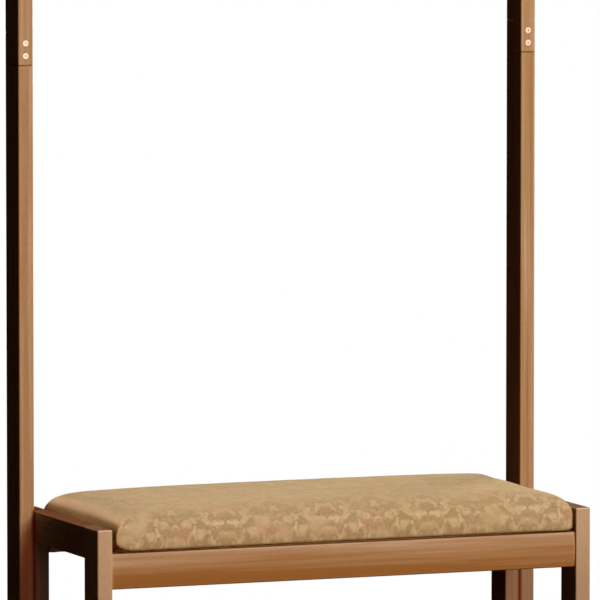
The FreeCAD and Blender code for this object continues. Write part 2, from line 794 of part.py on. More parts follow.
def makeFasteners():
    lapScrews = []
    lapInserts = []
    legBolts = []
    legInserts = []
    blockScrewSet = []
    cleatScrewSet = []
    sideDowelSet = []
    stretcherDowelSet = []
    frontDowelSet = []
    rearDowelSet = []
    topBolts = []
    topDowels = []
    rodScrews = []
    for side in PAIR:
        for x, y, z in lapScrewPlaces(side):
            lapScrews.append(sunkScrew((x, y, z), "+Y", "lap_screw_head", "lap_screw_shank",
                                       "lap_screw_sink", "lap_screw_long"))
            lapInserts.append(threadedInsert((x, legY, z), "+Y", "lap_insert_radius",
                                             "lap_insert_long", "lap_screw_shank"))
        for x, y, z in legBoltPlaces(side):
            legBolts.append(capBolt((x, y, z), OUTWARD[side], "leg_bolt_head", "leg_bolt_head_high",
                                    "leg_bolt_shank", "leg_bolt_long"))
            seam = times(side, "bench_width / 2")
            legInserts.append(threadedInsert((seam, y, z), OUTWARD[side], "leg_insert_radius",
                                             "leg_insert_long", "leg_bolt_shank"))
        cleatScrewSet += [woodScrew(spot, OUTWARD[side]) for spot in cleatScrews(side)]
        for end in PAIR:
            blockScrewSet += [woodScrew(at, into, "block_screw_long")
                              for at, into in blockScrews(side, end)]
            sideDowelSet += [dowel(spot, "Y", "dowel_side_long")
                             for spot in sideRailDowels(side, end)]
            stretcherDowelSet += [dowel(spot, "Y", "dowel_side_long")
                                  for spot in stretcherDowels(side, end)]
        frontDowelSet += [dowel(spot, "X", "dowel_cross_long")
                          for spot in crossRailDowels(side, "-1")]
        rearDowelSet += [dowel(spot, "X", "dowel_cross_long")
                         for spot in crossRailDowels(side, "1")]
        outer = times(side, "bench_width / 2 + board_thick")
        inner = times(side, "bench_width / 2")
        topBolts.append(capBolt((outer, legY, topBoltZ), INWARD[side], "top_bolt_head",
                                "top_bolt_head_high", "top_bolt_shank", "top_bolt_long"))
        topDowels.append(dowel((inner, legY, topDowelZ), "X", "dowel_cross_long"))
        rodScrews.append(sunkScrew((outer, legY, rodZ), INWARD[side], "lap_screw_head",
                                   "lap_screw_shank", "lap_screw_sink", "rod_screw_long"))
    group("lap_screws", lapScrews)
    group("lap_threaded_inserts", lapInserts)
    group("leg_bolts", legBolts)
    group("leg_threaded_inserts", legInserts)
    group("corner_block_screws", blockScrewSet)
    group("seat_cleat_screws", cleatScrewSet)
    group("side_rail_dowels", sideDowelSet)
    group("lower_stretcher_dowels", stretcherDowelSet)
    group("front_rail_dowels", frontDowelSet)
    group("rear_rail_dowels", rearDowelSet)
    group("top_rail_bolts", topBolts)
    group("top_rail_dowels", topDowels)
    group("hanging_rod_screws", rodScrews)
    group("shoe_slat_screws", [woodScrew(slatScrew(side, row), "-Z")
                               for row in ROWS for side in PAIR])


def makeBarrelNuts():
    nuts = []
    for x, y, z in barrelPlaces():
        start = "%s + barrel_long / 2" % legY
        barrel = cylinder("Barrel", "barrel_radius", "barrel_long", (x, start, z), "-Y")
        thread = hole((x + " - barrel_radius", legY, z), "+X", "top_bolt_shank", "2 * barrel_radius")
        nuts.append(cut("BarrelNut", barrel, [thread]))
    group("top_rail_barrel_nuts", nuts)


def makeGlides():
    glides = []
    for spot in glidePlaces():
        pad = cylinder("GlidePad", "glide_radius", "glide_high", spot, "+Z")
        nail = cylinder("GlideNail", "glide_nail_radius", "glide_high / 2 + glide_nail_long - dowel_end_play",
                        shifted(spot, "Z", "glide_high / 2"), "+Z")
        glides.append(fuse("Glide", [pad, nail]))
    group("floor_glides", glides)


makeLegs()
makeSideRails()
makeStretchers()
makeFrontRail()
makeRearRail()
makeCornerBlocks()
makeCleats()
makeShoeSlats()
makePosts()
makeTopRail()
makeRod()
makeSeat()
makeStopBlocks()
makeFasteners()
makeBarrelNuts()
makeGlides()
doc.recompute()

# ---------------------------------------------------------------- check and write

for thing in doc.Objects:
    if "Invalid" in thing.State or "Error" in thing.State:
        sys.exit("%s (%s) did not recompute: %s" % (thing.Name, thing.Label, thing.State))
for node in nodes:
    if node.Shape.isNull() or not node.Shape.isValid() or not node.Shape.Solids:
        sys.exit("%s has no sound shape" % node.Label)
    if len(node.Label) >= 60:
        sys.exit("%s is too long a name" % node.Label)

os.makedirs("parts", exist_ok=True)
for node in nodes:
    node.Shape.exportStep("parts/%s.step" % node.Label)
    print(node.Label, len(node.Shape.Solids), round(node.Shape.Volume))
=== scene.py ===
import math

import bmesh
import bpy
import numpy as np
from mathutils import Euler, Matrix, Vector, noise


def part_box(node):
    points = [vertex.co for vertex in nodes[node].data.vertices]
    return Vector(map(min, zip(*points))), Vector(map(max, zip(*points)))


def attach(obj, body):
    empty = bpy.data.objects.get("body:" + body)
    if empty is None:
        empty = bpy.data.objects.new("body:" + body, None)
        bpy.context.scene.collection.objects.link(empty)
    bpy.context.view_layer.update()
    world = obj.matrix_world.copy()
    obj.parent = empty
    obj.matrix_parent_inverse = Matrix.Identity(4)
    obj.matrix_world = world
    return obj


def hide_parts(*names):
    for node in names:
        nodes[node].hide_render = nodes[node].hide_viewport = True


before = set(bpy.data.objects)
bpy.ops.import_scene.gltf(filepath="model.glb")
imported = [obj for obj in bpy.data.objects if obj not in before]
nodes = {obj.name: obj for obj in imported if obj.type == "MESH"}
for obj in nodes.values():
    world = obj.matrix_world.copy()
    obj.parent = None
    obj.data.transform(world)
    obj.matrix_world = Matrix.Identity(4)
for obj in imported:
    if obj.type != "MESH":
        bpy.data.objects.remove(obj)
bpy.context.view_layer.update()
mm = 0.001
print("stage: frame loaded,", len(nodes), "nodes")


def linear(hexCode):
    # sRGB hex to the linear numbers that the sockets take
    parts = [int(hexCode[i:i + 2], 16) / 255 for i in (0, 2, 4)]
    return [c / 12.92 if c <= 0.04045 else ((c + 0.055) / 1.055) ** 2.4 for c in parts] + [1.0]


def addNode(tree, kind, wires=None, stops=(), **settings):
    # one node, its settings, and its sockets: a value, or another node's output
    node = tree.nodes.new(kind)
    for name, value in settings.items():
        setattr(node, name, value)
    for socket, source in (wires or {}).items():
        if isinstance(source, bpy.types.NodeSocket):
            tree.links.new(source, node.inputs[socket])
        else:
            node.inputs[socket].default_value = source
    for i, (place, hexCode) in enumerate(stops):  # a colour ramp's stops; it starts with two
        stop = node.color_ramp.elements[i] if i < 2 else node.color_ramp.elements.new(place)
        stop.position, stop.color = place, linear(hexCode)
    return node


def newMaterial(name):
    material = bpy.data.materials.new(name)
    material.use_nodes = True
    material.node_tree.nodes.clear()
    return material, material.node_tree


def paint(node, material):
    piece = nodes[node]
    if not piece.material_slots:
        piece.data.materials.append(None)
    for slot in piece.material_slots:
        slot.material = material


def addObject(name, data):
    thing = bpy.data.objects.new(name, data)
    bpy.context.scene.collection.objects.link(thing)
    return thing


def meshPiece(name, bm):
    mesh = bpy.data.meshes.new(name)
    bm.to_mesh(mesh)
    bm.free()
    return addObject(name, mesh)


cameraPlace = dict(yaw=21.894, pitch=-5.399, lens=550.66, sensor=36.0, distance=15.5187,
                   across=0.07899, upward=0.37001, clipEnd=80)


def makeCamera(place):
    # aims from a point at the front leg tops, the width's middle
    legLow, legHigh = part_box("front_leg_left")
    aim = Vector((0, legLow.y, legHigh.z))
    turn = Euler((math.radians(90 + place["pitch"]), 0, math.radians(-place["yaw"])))
    right, up, back = (turn.to_matrix() @ Vector(v) for v in ((1, 0, 0), (0, 1, 0), (0, 0, 1)))
    data = bpy.data.cameras.new("viewCamera")
    data.lens, data.sensor_width = place["lens"], place["sensor"]
    data.clip_end = place["clipEnd"]
    camera = addObject("viewCamera", data)
    camera.rotation_euler = turn
    camera.location = (aim - right * place["across"] + up * place["upward"]
                       + back * place["distance"])
    bpy.context.scene.camera = camera


makeCamera(cameraPlace)

lamps = dict(
    key=dict(place=(1.5, -4.5, 3.3), aim=(0, 0, 0.7), size=(2.2, 3.0), power=272, tint="F2FAFA"),
    top=dict(place=(0.5, -0.3, 4.8), aim=(0.2, 0, 0.4), size=(0.8, 2.0), power=84, tint="F6FAFA"),
    fill=dict(place=(-0.6, -6.0, 0.9), aim=(0, 0, 0.7), size=(0.5, 1.0), power=58, tint="FF8E48"),
    side=dict(place=(4.7, 3.5, 1.9), aim=(0, 0, 0.7), size=(2.0, 2.4), power=150, tint="FBF8F4"),
)
# near, far: where the floor starts to fade to white, and where it is white
# paleSide: the way to the key lamp's side; floorSide, skySide: from where to where it turns pale
room = dict(radius=9.0, sides=96, near=1.5, far=2.1, floor="EDEBE8", bounce="2A221A",
            sky=0.009, skyTint="FFD8B0", paleSide=(0.37, -0.93, 0.0), floorSide=(0.4, 1.6),
            skySide=(0.0, 0.6))


def makeLamp(name, lamp):
    data = bpy.data.lights.new(name, "AREA")
    data.shape = "RECTANGLE"
    data.size, data.size_y = lamp["size"]
    data.energy = lamp["power"]
    data.color = linear(lamp["tint"])[:3]
    light = addObject(name, data)
    light.location = lamp["place"]
    way = Vector(lamp["aim"]) - Vector(lamp["place"])
    light.rotation_euler = way.to_track_quat("-Z", "Y").to_euler()


for lampName, lamp in lamps.items():
    makeLamp(lampName + "Light", lamp)


def seenPale(tree, place, turn):
    # 1 where the pale room shows: to the camera, through glass, and in gloss on the key lamp's side
    path = addNode(tree, "ShaderNodeLightPath").outputs
    side = addNode(tree, "ShaderNodeVectorMath", {0: place, 1: room["paleSide"]},
                   operation="DOT_PRODUCT").outputs["Value"]
    lit = addNode(tree, "ShaderNodeMapRange", {"Value": side, "From Min": turn[0],
                  "From Max": turn[1]}, interpolation_type="SMOOTHSTEP").outputs[0]
    glossy = addNode(tree, "ShaderNodeMath", {0: path["Is Glossy Ray"], 1: lit},
                     operation="MULTIPLY").outputs[0]
    straight = addNode(tree, "ShaderNodeMath", {0: path["Is Camera Ray"],
                       1: path["Is Transmission Ray"]}, operation="MAXIMUM").outputs[0]
    return addNode(tree, "ShaderNodeMath", {0: straight, 1: glossy}, operation="MAXIMUM").outputs[0]


def makeFloor(room):
    bm = bmesh.new()
    bmesh.ops.create_circle(bm, cap_ends=True, segments=room["sides"], radius=room["radius"])
    floor = meshPiece("studioFloor", bm)
    # painted studio floor: matt and pale, it fades to plain white away from the stand
    material, tree = newMaterial("mattStudioPaint")
    place = addNode(tree, "ShaderNodeTexCoord").outputs["Object"]
    seen = seenPale(tree, place, room["floorSide"])
    away = addNode(tree, "ShaderNodeVectorMath", {0: place}, operation="LENGTH").outputs["Value"]
    fade = addNode(tree, "ShaderNodeMapRange", {"Value": away, "From Min": room["near"],
                   "From Max": room["far"]}, interpolation_type="SMOOTHSTEP").outputs[0]
    pale = addNode(tree, "ShaderNodeBsdfDiffuse", {"Color": linear(room["floor"])}).outputs[0]
    white = addNode(tree, "ShaderNodeEmission").outputs[0]
    bounce = addNode(tree, "ShaderNodeBsdfDiffuse", {"Color": linear(room["bounce"])}).outputs[0]
    shown = addNode(tree, "ShaderNodeMixShader", {0: fade, 1: pale, 2: white}).outputs[0]
    whole = addNode(tree, "ShaderNodeMixShader", {0: seen, 1: bounce, 2: shown}).outputs[0]
    addNode(tree, "ShaderNodeOutputMaterial", {"Surface": whole})
    floor.data.materials.append(material)


def makeWorld(room):
    world = bpy.data.worlds.new("studioWorld")
    bpy.context.scene.world = world
    world.use_nodes = True
    tree = world.node_tree
    tree.nodes.clear()
    way = addNode(tree, "ShaderNodeTexCoord").outputs["Generated"]
    seen = seenPale(tree, way, room["skySide"])
    dim = addNode(tree, "ShaderNodeBackground", {"Color": linear(room["skyTint"]),
                  "Strength": room["sky"]}).outputs[0]
    white = addNode(tree, "ShaderNodeBackground", {"Color": linear("FFFFFF")}).outputs[0]
    whole = addNode(tree, "ShaderNodeMixShader", {0: seen, 1: dim, 2: white}).outputs[0]
    addNode(tree, "ShaderNodeOutputWorld", {"Surface": whole})


makeFloor(room)
makeWorld(room)
bpy.context.scene.view_settings.view_transform = "Standard"
print("stage: camera, lights and floor")

# colours and grain, then fading, painted shade and shadow, joint dirt and rubbed edges; a pair
# named
# Edges or Facing is where that part starts to show and where it is full
stain = dict(
    pale="C9A079", middle="AF8356", deep="9E6529", tones=(0.15, 0.5, 0.95),
    toneStart=-0.34, boardSpread=0.05, boardTurn=2.4,  # each board's own depth of stain
    streakWide=9 * mm, streakLong=420 * mm, streakShare=1.25,
    fibreWide=1.6 * mm, fibreLong=70 * mm, fibreShare=0.15, fibreRough=0.16,
    ring=5.5 * mm, ringEnd=0.85, ringDrift=0.02, ringWave=(50 * mm, 350 * mm),
    pith=(0.055, 0.12),
    fleck="5A3114", fleckWide=0.55 * mm, fleckLong=3.2 * mm, fleckEdges=(0.66, 0.78),
    fleckShare=0.42,
    lowerShadeWaver=(14 * mm, 230 * mm), lowerShadeSwing=30 * mm, lowerShadeEdges=(42 * mm, -8 * mm),
    endGrain=0.45, endFacing=(0.75, 0.95),
    fadeAndPaintedLight="CDAB84", paintedShadeBrown="3A1209", shadeSideFacing=(-0.5, -0.9), seatShadowHeights=(0.30, 0.37),
    handled="70300C", topShadeFacing=(0.6, 0.9), footShadeBrown="8A6244", footShade=(0.27, 0.43),
    seamWide=(7 * mm, 2.2 * mm), seamShare=0.9, seamFade=4 * mm,
    lapWide=(2.6 * mm, 0.0), lapShare=0.75,
    worn="D6A67A", wearWide=5 * mm, wearShare=0.5,
    rough=0.42, bump=0.12 * mm)
runTurns = dict(X=(0, 90, 0), Y=(90, 0, 0), Z=(0, 0, 0))  # turns a board's run to the grain's Z
plankStep = (0.37, 0.61, 1.13)  # metres in the plank from one board's wood to the next one's
# run: the way the grain goes; bleach: faded all over; turnedAwayShade: painted shade on the face
# turned from the light
# footShadeDepth: painted shade toward the feet; topShadeDepth: painted shade on the upper face;
# lowerShade: painted shade on the lower half
# seatShadowDepth: painted shadow close under the seat; rings: how strong the growth rings show
# seam: the side, 1 right or -1 left, that meets the next board
# lap: the upper post whose lower end makes the joint line
boards = dict(
    front_leg_left=dict(run="Z", bleach=0.75, footShadeDepth=0.2, topShadeDepth=0.6),
    front_leg_right=dict(run="Z", bleach=0.75, footShadeDepth=0.38, topShadeDepth=0.6, turnedAwayShade=0.75),
    rear_leg_left=dict(run="Z", footShadeDepth=0.5, topShadeDepth=0.7, seam=-1, seatShadowDepth=0.75),
    rear_leg_right=dict(run="Z", footShadeDepth=0.72, topShadeDepth=0.7, seam=1, turnedAwayShade=0.75),
    lower_post_left=dict(run="Z", footShadeDepth=0.5, seam=1, lap="upper_post_left"),
    lower_post_right=dict(run="Z", footShadeDepth=0.6, seam=-1, lap="upper_post_right", turnedAwayShade=0.75),
    upper_post_left=dict(run="Z", shade=-0.08, lap="upper_post_left"),
    upper_post_right=dict(run="Z", shade=-0.08, lap="upper_post_right", turnedAwayShade=0.75),
    side_rail_left=dict(run="Y", topShadeDepth=0.85),
    side_rail_right=dict(run="Y", topShadeDepth=0.5),
    front_rail=dict(run="X", lowerShade=0.7, topShadeDepth=0.6, rings=0.06),
    rear_rail=dict(run="X", topShadeDepth=0.35),
    top_rail=dict(run="X"),
    hanging_rod=dict(run="X"),
    lower_stretcher_left=dict(run="Y"),
    lower_stretcher_right=dict(run="Y"),
    shoe_slat_front=dict(run="X"),
    shoe_slat_middle=dict(run="X"),
    shoe_slat_rear=dict(run="X"),
)


def scaled(tree, place, wide, long):
    # the board's place measured in grains: wide across the run, long along it
    return addNode(tree, "ShaderNodeVectorMath", {0: place, 1: (1 / wide, 1 / wide, 1 / long)},
                   operation="MULTIPLY").outputs[0]


def grainAndFleck(tree, run, order, finish):
    # each board is cut from another part of the plank, by its order
    objectPlace = addNode(tree, "ShaderNodeTexCoord").outputs["Object"]
    place = addNode(tree, "ShaderNodeMapping", {
        "Vector": objectPlace, "Rotation": [math.radians(a) for a in runTurns[run]],
        "Location": [step * order for step in plankStep]}).outputs[0]
    streak = addNode(tree, "ShaderNodeTexNoise", {
        "Vector": scaled(tree, place, finish["streakWide"], finish["streakLong"]),
        "Scale": 1.0, "Detail": 3.0, "Roughness": 0.55, "Distortion": 0.35}).outputs[0]
    fibre = addNode(tree, "ShaderNodeTexNoise", {
        "Vector": scaled(tree, place, finish["fibreWide"], finish["fibreLong"]),
        "Scale": 1.0, "Detail": 2.0, "Roughness": 0.6}).outputs[0]
    fleck = addNode(tree, "ShaderNodeTexNoise", {
        "Vector": scaled(tree, place, finish["fleckWide"], finish["fleckLong"]),
        "Scale": 1.0, "Detail": 0.0}).outputs[0]
    return objectPlace, place, streak, fibre, fleck


def growthRings(tree, place, finish):
    # distance from a pith outside the board, bent a little along the run
    wave = addNode(tree, "ShaderNodeTexNoise", {
        "Vector": scaled(tree, place, *finish["ringWave"]), "Scale": 1.0,
        "Detail": 1.0}).outputs[0]
    section = addNode(tree, "ShaderNodeVectorMath", {
        0: place, 1: (1, 1, finish["ringDrift"]), 2: [-p for p in finish["pith"]] + [0]},
        operation="MULTIPLY_ADD").outputs[0]
    far = addNode(tree, "ShaderNodeVectorMath", {0: section}, operation="LENGTH").outputs["Value"]
    count = addNode(tree, "ShaderNodeMath", {0: far, 1: 1 / finish["ring"], 2: wave},
                    operation="MULTIPLY_ADD").outputs[0]
    ring = addNode(tree, "ShaderNodeMath", {0: count}, operation="FRACT").outputs[0]
    return addNode(tree, "ShaderNodeMapRange", {"Value": ring, "From Max": finish["ringEnd"]},
                   interpolation_type="SMOOTHSTEP").outputs[0]


def lowerHalfShade(tree, place, height, middle, lowerShade, finish):
    # painted shade: a darker band along the lower half, where the bowed face turns from the light,
    # its edge wavering with the grain
    waver = addNode(tree, "ShaderNodeTexNoise", {
        "Vector": scaled(tree, place, *finish["lowerShadeWaver"]), "Scale": 1.0, "Detail": 4.0,
        "Roughness": 0.6}).outputs[0]
    edge = addNode(tree, "ShaderNodeMath", {0: waver, 1: finish["lowerShadeSwing"], 2: height},
                   operation="MULTIPLY_ADD").outputs[0]
    start, full = (middle + up for up in finish["lowerShadeEdges"])
    return addNode(tree, "ShaderNodeMapRange", {
        "Value": edge, "From Min": start, "From Max": full, "To Max": lowerShade}).outputs[0]


def rubbedEdges(tree, objectPlace, low, high, finish):
    # within a few millimetres of two faces at once
    middle, half = (low + high) / 2, (high - low) / 2
    offset = addNode(tree, "ShaderNodeVectorMath", {0: objectPlace, 1: middle},
                     operation="SUBTRACT").outputs[0]
    offset = addNode(tree, "ShaderNodeVectorMath", {0: offset}, operation="ABSOLUTE").outputs[0]
    inside = addNode(tree, "ShaderNodeVectorMath", {0: half, 1: offset},
                     operation="SUBTRACT").outputs[0]
    gap = addNode(tree, "ShaderNodeSeparateXYZ", {0: inside}).outputs
    least = addNode(tree, "ShaderNodeMath", {0: gap[0], 1: gap[1]}, operation="MINIMUM").outputs[0]
    most = addNode(tree, "ShaderNodeMath", {0: gap[0], 1: gap[1]}, operation="MAXIMUM").outputs[0]
    third = addNode(tree, "ShaderNodeMath", {0: most, 1: gap[2]}, operation="MINIMUM").outputs[0]
    second = addNode(tree, "ShaderNodeMath", {0: least, 1: third}, operation="MAXIMUM").outputs[0]
    return addNode(tree, "ShaderNodeMapRange", {
        "Value": second, "From Min": finish["wearWide"], "From Max": 0.0,
        "To Max": finish["wearShare"]}, interpolation_type="SMOOTHSTEP").outputs[0]


def jointDirt(tree, along, joint, wide, share):
    # polish and dust packed in a joint line
    gap = addNode(tree, "ShaderNodeMath", {0: along, 1: joint}, operation="SUBTRACT").outputs[0]
    gap = addNode(tree, "ShaderNodeMath", {0: gap}, operation="ABSOLUTE").outputs[0]
    return addNode(tree, "ShaderNodeMapRange", {"Value": gap, "From Min": wide[0],
                   "From Max": wide[1], "To Max": share},
                   interpolation_type="SMOOTHSTEP").outputs[0]


def stainedBeech(node, order, run, lowerShade=0.0, shade=0.0, bleach=0.0, footShadeDepth=0.0,
                 topShadeDepth=0.0, rings=0.16, seam=0, lap="", turnedAwayShade=0.0, seatShadowDepth=0.0):
    # stained beech under satin lacquer: long soft streaks, faint rings, short dark flecks
    finish = stain
    low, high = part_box(node)
    material, tree = newMaterial("stainedBeech_" + node)
    objectPlace, place, streak, fibre, fleck = grainAndFleck(tree, run, order, finish)
    spot = addNode(tree, "ShaderNodeSeparateXYZ", {0: objectPlace}).outputs
    normal = addNode(tree, "ShaderNodeTexCoord").outputs["Normal"]
    facing = addNode(tree, "ShaderNodeSeparateXYZ", {0: normal}).outputs
    # how dark each spot is, a little different from board to board
    tone = (shade + finish["toneStart"]
            + finish["boardSpread"] * math.sin(order * finish["boardTurn"]))
    for part, share in ((streak, finish["streakShare"]),
                        (growthRings(tree, place, finish), rings),
                        (fibre, finish["fibreShare"] + rings)):
        tone = addNode(tree, "ShaderNodeMath", {0: part, 1: share, 2: tone},
                       operation="MULTIPLY_ADD").outputs[0]
    # painted shade on the lower half
    if lowerShade:
        band = lowerHalfShade(tree, place, spot["Z"], (low.z + high.z) / 2, lowerShade, finish)
        tone = addNode(tree, "ShaderNodeMath", {0: tone, 1: band}, operation="ADD").outputs[0]
    stops = zip(finish["tones"], (finish["pale"], finish["middle"], finish["deep"]))
    colour = addNode(tree, "ShaderNodeValToRGB", {0: tone}, stops).outputs[0]
    coats = []  # laid over each other in this order: how much, which colour
    if bleach:
        coats.append((bleach, "fadeAndPaintedLight"))  # faced the window: the stain has faded
    if footShadeDepth:
        # painted shade: darker toward the feet, where less light reaches
        footShade = addNode(tree, "ShaderNodeMapRange", {
            "Value": spot["Z"], "From Min": finish["footShade"][1], "From Max": finish["footShade"][0],
            "To Max": footShadeDepth}, interpolation_type="SMOOTHSTEP").outputs[0]
        coats.append((footShade, "footShadeBrown"))
    if seatShadowDepth:
        # painted shadow: darker close under the seat
        seatShadow = addNode(tree, "ShaderNodeMapRange", {
            "Value": spot["Z"], "From Min": finish["seatShadowHeights"][0],
            "From Max": finish["seatShadowHeights"][1], "To Max": seatShadowDepth},
            interpolation_type="SMOOTHSTEP").outputs[0]
        coats.append((seatShadow, "paintedShadeBrown"))
    dash = addNode(tree, "ShaderNodeMapRange", {
        "Value": fleck, "From Min": finish["fleckEdges"][0], "From Max": finish["fleckEdges"][1],
        "To Max": finish["fleckShare"]}, interpolation_type="SMOOTHSTEP").outputs[0]
    coats.append((dash, "fleck"))
    # ends of the grain take more stain
    along = addNode(tree, "ShaderNodeMath", {0: facing[run]}, operation="ABSOLUTE").outputs[0]
    endFace = addNode(tree, "ShaderNodeMapRange", {
        "Value": along, "From Min": finish["endFacing"][0], "From Max": finish["endFacing"][1],
        "To Max": finish["endGrain"]}).outputs[0]
    coats.append((endFace, "fleck"))
    if topShadeDepth:
        # painted shade: the upper faces darker, as little light reaches them
        upper = addNode(tree, "ShaderNodeMapRange", {
            "Value": facing["Z"], "From Min": finish["topShadeFacing"][0],
            "From Max": finish["topShadeFacing"][1], "To Max": topShadeDepth}).outputs[0]
        coats.append((upper, "handled"))
    if turnedAwayShade:
        # painted shade: the face turned from the light is darker
        away = addNode(tree, "ShaderNodeMapRange", {
            "Value": facing["X"], "From Min": finish["shadeSideFacing"][0],
            "From Max": finish["shadeSideFacing"][1], "To Max": turnedAwayShade}).outputs[0]
        coats.append((away, "paintedShadeBrown"))
    worn = addNode(tree, "ShaderNodeMath", {
        0: streak, 1: rubbedEdges(tree, objectPlace, low, high, finish)},
        operation="MULTIPLY").outputs[0]
    coats.append((worn, "worn"))
    if lap:
        line = jointDirt(tree, spot["Z"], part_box(lap)[0].z, finish["lapWide"], finish["lapShare"])
        coats.append((line, "handled"))
    if seam:
        edge = high.x if seam > 0 else low.x
        line = jointDirt(tree, spot["X"], edge, finish["seamWide"], finish["seamShare"])
        # the joint ends where the leg does
        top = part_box("rear_leg_left")[1].z
        below = addNode(tree, "ShaderNodeMapRange", {
            "Value": spot["Z"], "From Min": top + finish["seamFade"],
            "From Max": top}).outputs[0]
        line = addNode(tree, "ShaderNodeMath", {0: line, 1: below}, operation="MULTIPLY").outputs[0]
        coats.append((line, "handled"))
    for share, coat in coats:
        colour = addNode(tree, "ShaderNodeMix", {"Factor": share, "A": colour,
                         "B": linear(finish[coat])}, data_type="RGBA").outputs["Result"]
    rough = addNode(tree, "ShaderNodeMath", {
        0: fibre, 1: finish["fibreRough"], 2: finish["rough"] - finish["fibreRough"] / 2},
        operation="MULTIPLY_ADD").outputs[0]
    relief = addNode(tree, "ShaderNodeMath", {0: fibre, 1: dash}, operation="SUBTRACT").outputs[0]
    bump = addNode(tree, "ShaderNodeBump", {"Height": relief, "Distance": finish["bump"],
                   "Strength": 0.5}).outputs[0]
    shader = addNode(tree, "ShaderNodeBsdfPrincipled", {
        "Base Color": colour, "Roughness": rough, "Normal": bump, "IOR": 1.5,
        "Specular IOR Level": 0.3}).outputs[0]
    addNode(tree, "ShaderNodeOutputMaterial", {"Surface": shader})
    return material


for order, (board, settings) in enumerate(boards.items()):
    paint(board, stainedBeech(board, order, **settings))
print("stage: stained boards")

rawWood = dict(
    planedBeech=dict(pale="E0BE92", deep="B98A5C", fleck="8A5A34", streakWide=5 * mm,
                     streakLong=180 * mm, rough=0.62),
    flutedBeech=dict(pale="E2C69A", deep="C39A69", fleck="8A5A34", streakWide=3 * mm,
                     streakLong=60 * mm, rough=0.7),
)
rawGrain = dict(fibreWide=1.2 * mm, fibreLong=40 * mm, fibreShare=0.4, tones=(0.45, 0.95),
                fleckWide=0.6 * mm, fleckLong=3 * mm, fleckEdges=(0.64, 0.74), fleckShare=0.5,
                bump=0.15 * mm)
rawParts = dict(
    corner_block_front_left=("planedBeech", "Y"),
    corner_block_front_right=("planedBeech", "Y"),
    corner_block_rear_left=("planedBeech", "Y"),
    corner_block_rear_right=("planedBeech", "Y"),
    seat_cleat_left=("planedBeech", "Y"),
    seat_cleat_right=("planedBeech", "Y"),
    seat_stop_blocks=("planedBeech", "X"),
    front_rail_dowels=("flutedBeech", "X"),
    rear_rail_dowels=("flutedBeech", "X"),
    side_rail_dowels=("flutedBeech", "Y"),
    lower_stretcher_dowels=("flutedBeech", "Y"),
    top_rail_dowels=("flutedBeech", "X"),
)


def bareBeech(name, order, run, finish):
    # planed beech left bare: matt, pale, short flecks and a fine raised grain
    material, tree = newMaterial(name)
    streak, fibre, fleck = grainAndFleck(tree, run, order, finish)[2:]
    tone = addNode(tree, "ShaderNodeMath", {0: fibre, 1: finish["fibreShare"], 2: streak},
                   operation="MULTIPLY_ADD").outputs[0]
    stops = zip(finish["tones"], (finish["pale"], finish["deep"]))
    colour = addNode(tree, "ShaderNodeValToRGB", {0: tone}, stops).outputs[0]
    dash = addNode(tree, "ShaderNodeMapRange", {
        "Value": fleck, "From Min": finish["fleckEdges"][0], "From Max": finish["fleckEdges"][1],
        "To Max": finish["fleckShare"]}).outputs[0]
    colour = addNode(tree, "ShaderNodeMix", {"Factor": dash, "A": colour,
                     "B": linear(finish["fleck"])}, data_type="RGBA").outputs["Result"]
    bump = addNode(tree, "ShaderNodeBump", {"Height": fibre, "Distance": finish["bump"],
                   "Strength": 0.6}).outputs[0]
    shader = addNode(tree, "ShaderNodeBsdfPrincipled", {
        "Base Color": colour, "Roughness": finish["rough"], "Normal": bump}).outputs[0]
    addNode(tree, "ShaderNodeOutputMaterial", {"Surface": shader})
    return material


for order, (node, (kind, run)) in enumerate(rawParts.items()):
    paint(node, bareBeech(kind + "_" + node, order, run, {**rawWood[kind], **rawGrain}))

plywood = dict(pale="E3CBA0", deep="C9A676", edgePale="BE8844", edgeDark="905C2A",
               tones=(0.4, 0.9), ply=1.5 * mm, plyEdge=0.3, streakWide=22 * mm,
               streakLong=300 * mm, fibreWide=1.5 * mm, fibreLong=60 * mm, fibreShare=0.3,
               fleckWide=0.8 * mm, fleckLong=5 * mm, plankPart=3, rough=0.6, bump=0.12 * mm)


def birchPly(p):
    # birch plywood: faint cathedral streaks on its faces, light and dark plies at its edges
    material, tree = newMaterial("birchPlywood")
    objectPlace, _, streak, fibre, _ = grainAndFleck(tree, "X", p["plankPart"], p)
    tone = addNode(tree, "ShaderNodeMath", {0: fibre, 1: p["fibreShare"], 2: streak},
                   operation="MULTIPLY_ADD").outputs[0]
    stops = zip(p["tones"], (p["pale"], p["deep"]))
    face = addNode(tree, "ShaderNodeValToRGB", {0: tone}, stops).outputs[0]
    height = addNode(tree, "ShaderNodeSeparateXYZ", {0: objectPlace}).outputs["Z"]
    layer = addNode(tree, "ShaderNodeMath", {0: height, 1: math.pi / p["ply"]},
                    operation="MULTIPLY").outputs[0]
    layer = addNode(tree, "ShaderNodeMath", {0: layer}, operation="SINE").outputs[0]
    layer = addNode(tree, "ShaderNodeMapRange", {"Value": layer, "From Min": -p["plyEdge"],
                    "From Max": p["plyEdge"]}).outputs[0]
    edge = addNode(tree, "ShaderNodeMix", {"Factor": layer, "A": linear(p["edgePale"]),
                   "B": linear(p["edgeDark"])}, data_type="RGBA").outputs["Result"]
    normal = addNode(tree, "ShaderNodeTexCoord").outputs["Normal"]
    upward = addNode(tree, "ShaderNodeSeparateXYZ", {0: normal}).outputs["Z"]
    upward = addNode(tree, "ShaderNodeMath", {0: upward}, operation="ABSOLUTE").outputs[0]
    colour = addNode(tree, "ShaderNodeMix", {"Factor": upward, "A": edge, "B": face},
                     data_type="RGBA").outputs["Result"]
    bump = addNode(tree, "ShaderNodeBump", {"Height": fibre, "Distance": p["bump"],
                   "Strength": 0.5}).outputs[0]
    shader = addNode(tree, "ShaderNodeBsdfPrincipled", {
        "Base Color": colour, "Roughness": p["rough"], "Normal": bump}).outputs[0]
    addNode(tree, "ShaderNodeOutputMaterial", {"Surface": shader})
    return material


paint("seat_board", birchPly(plywood))

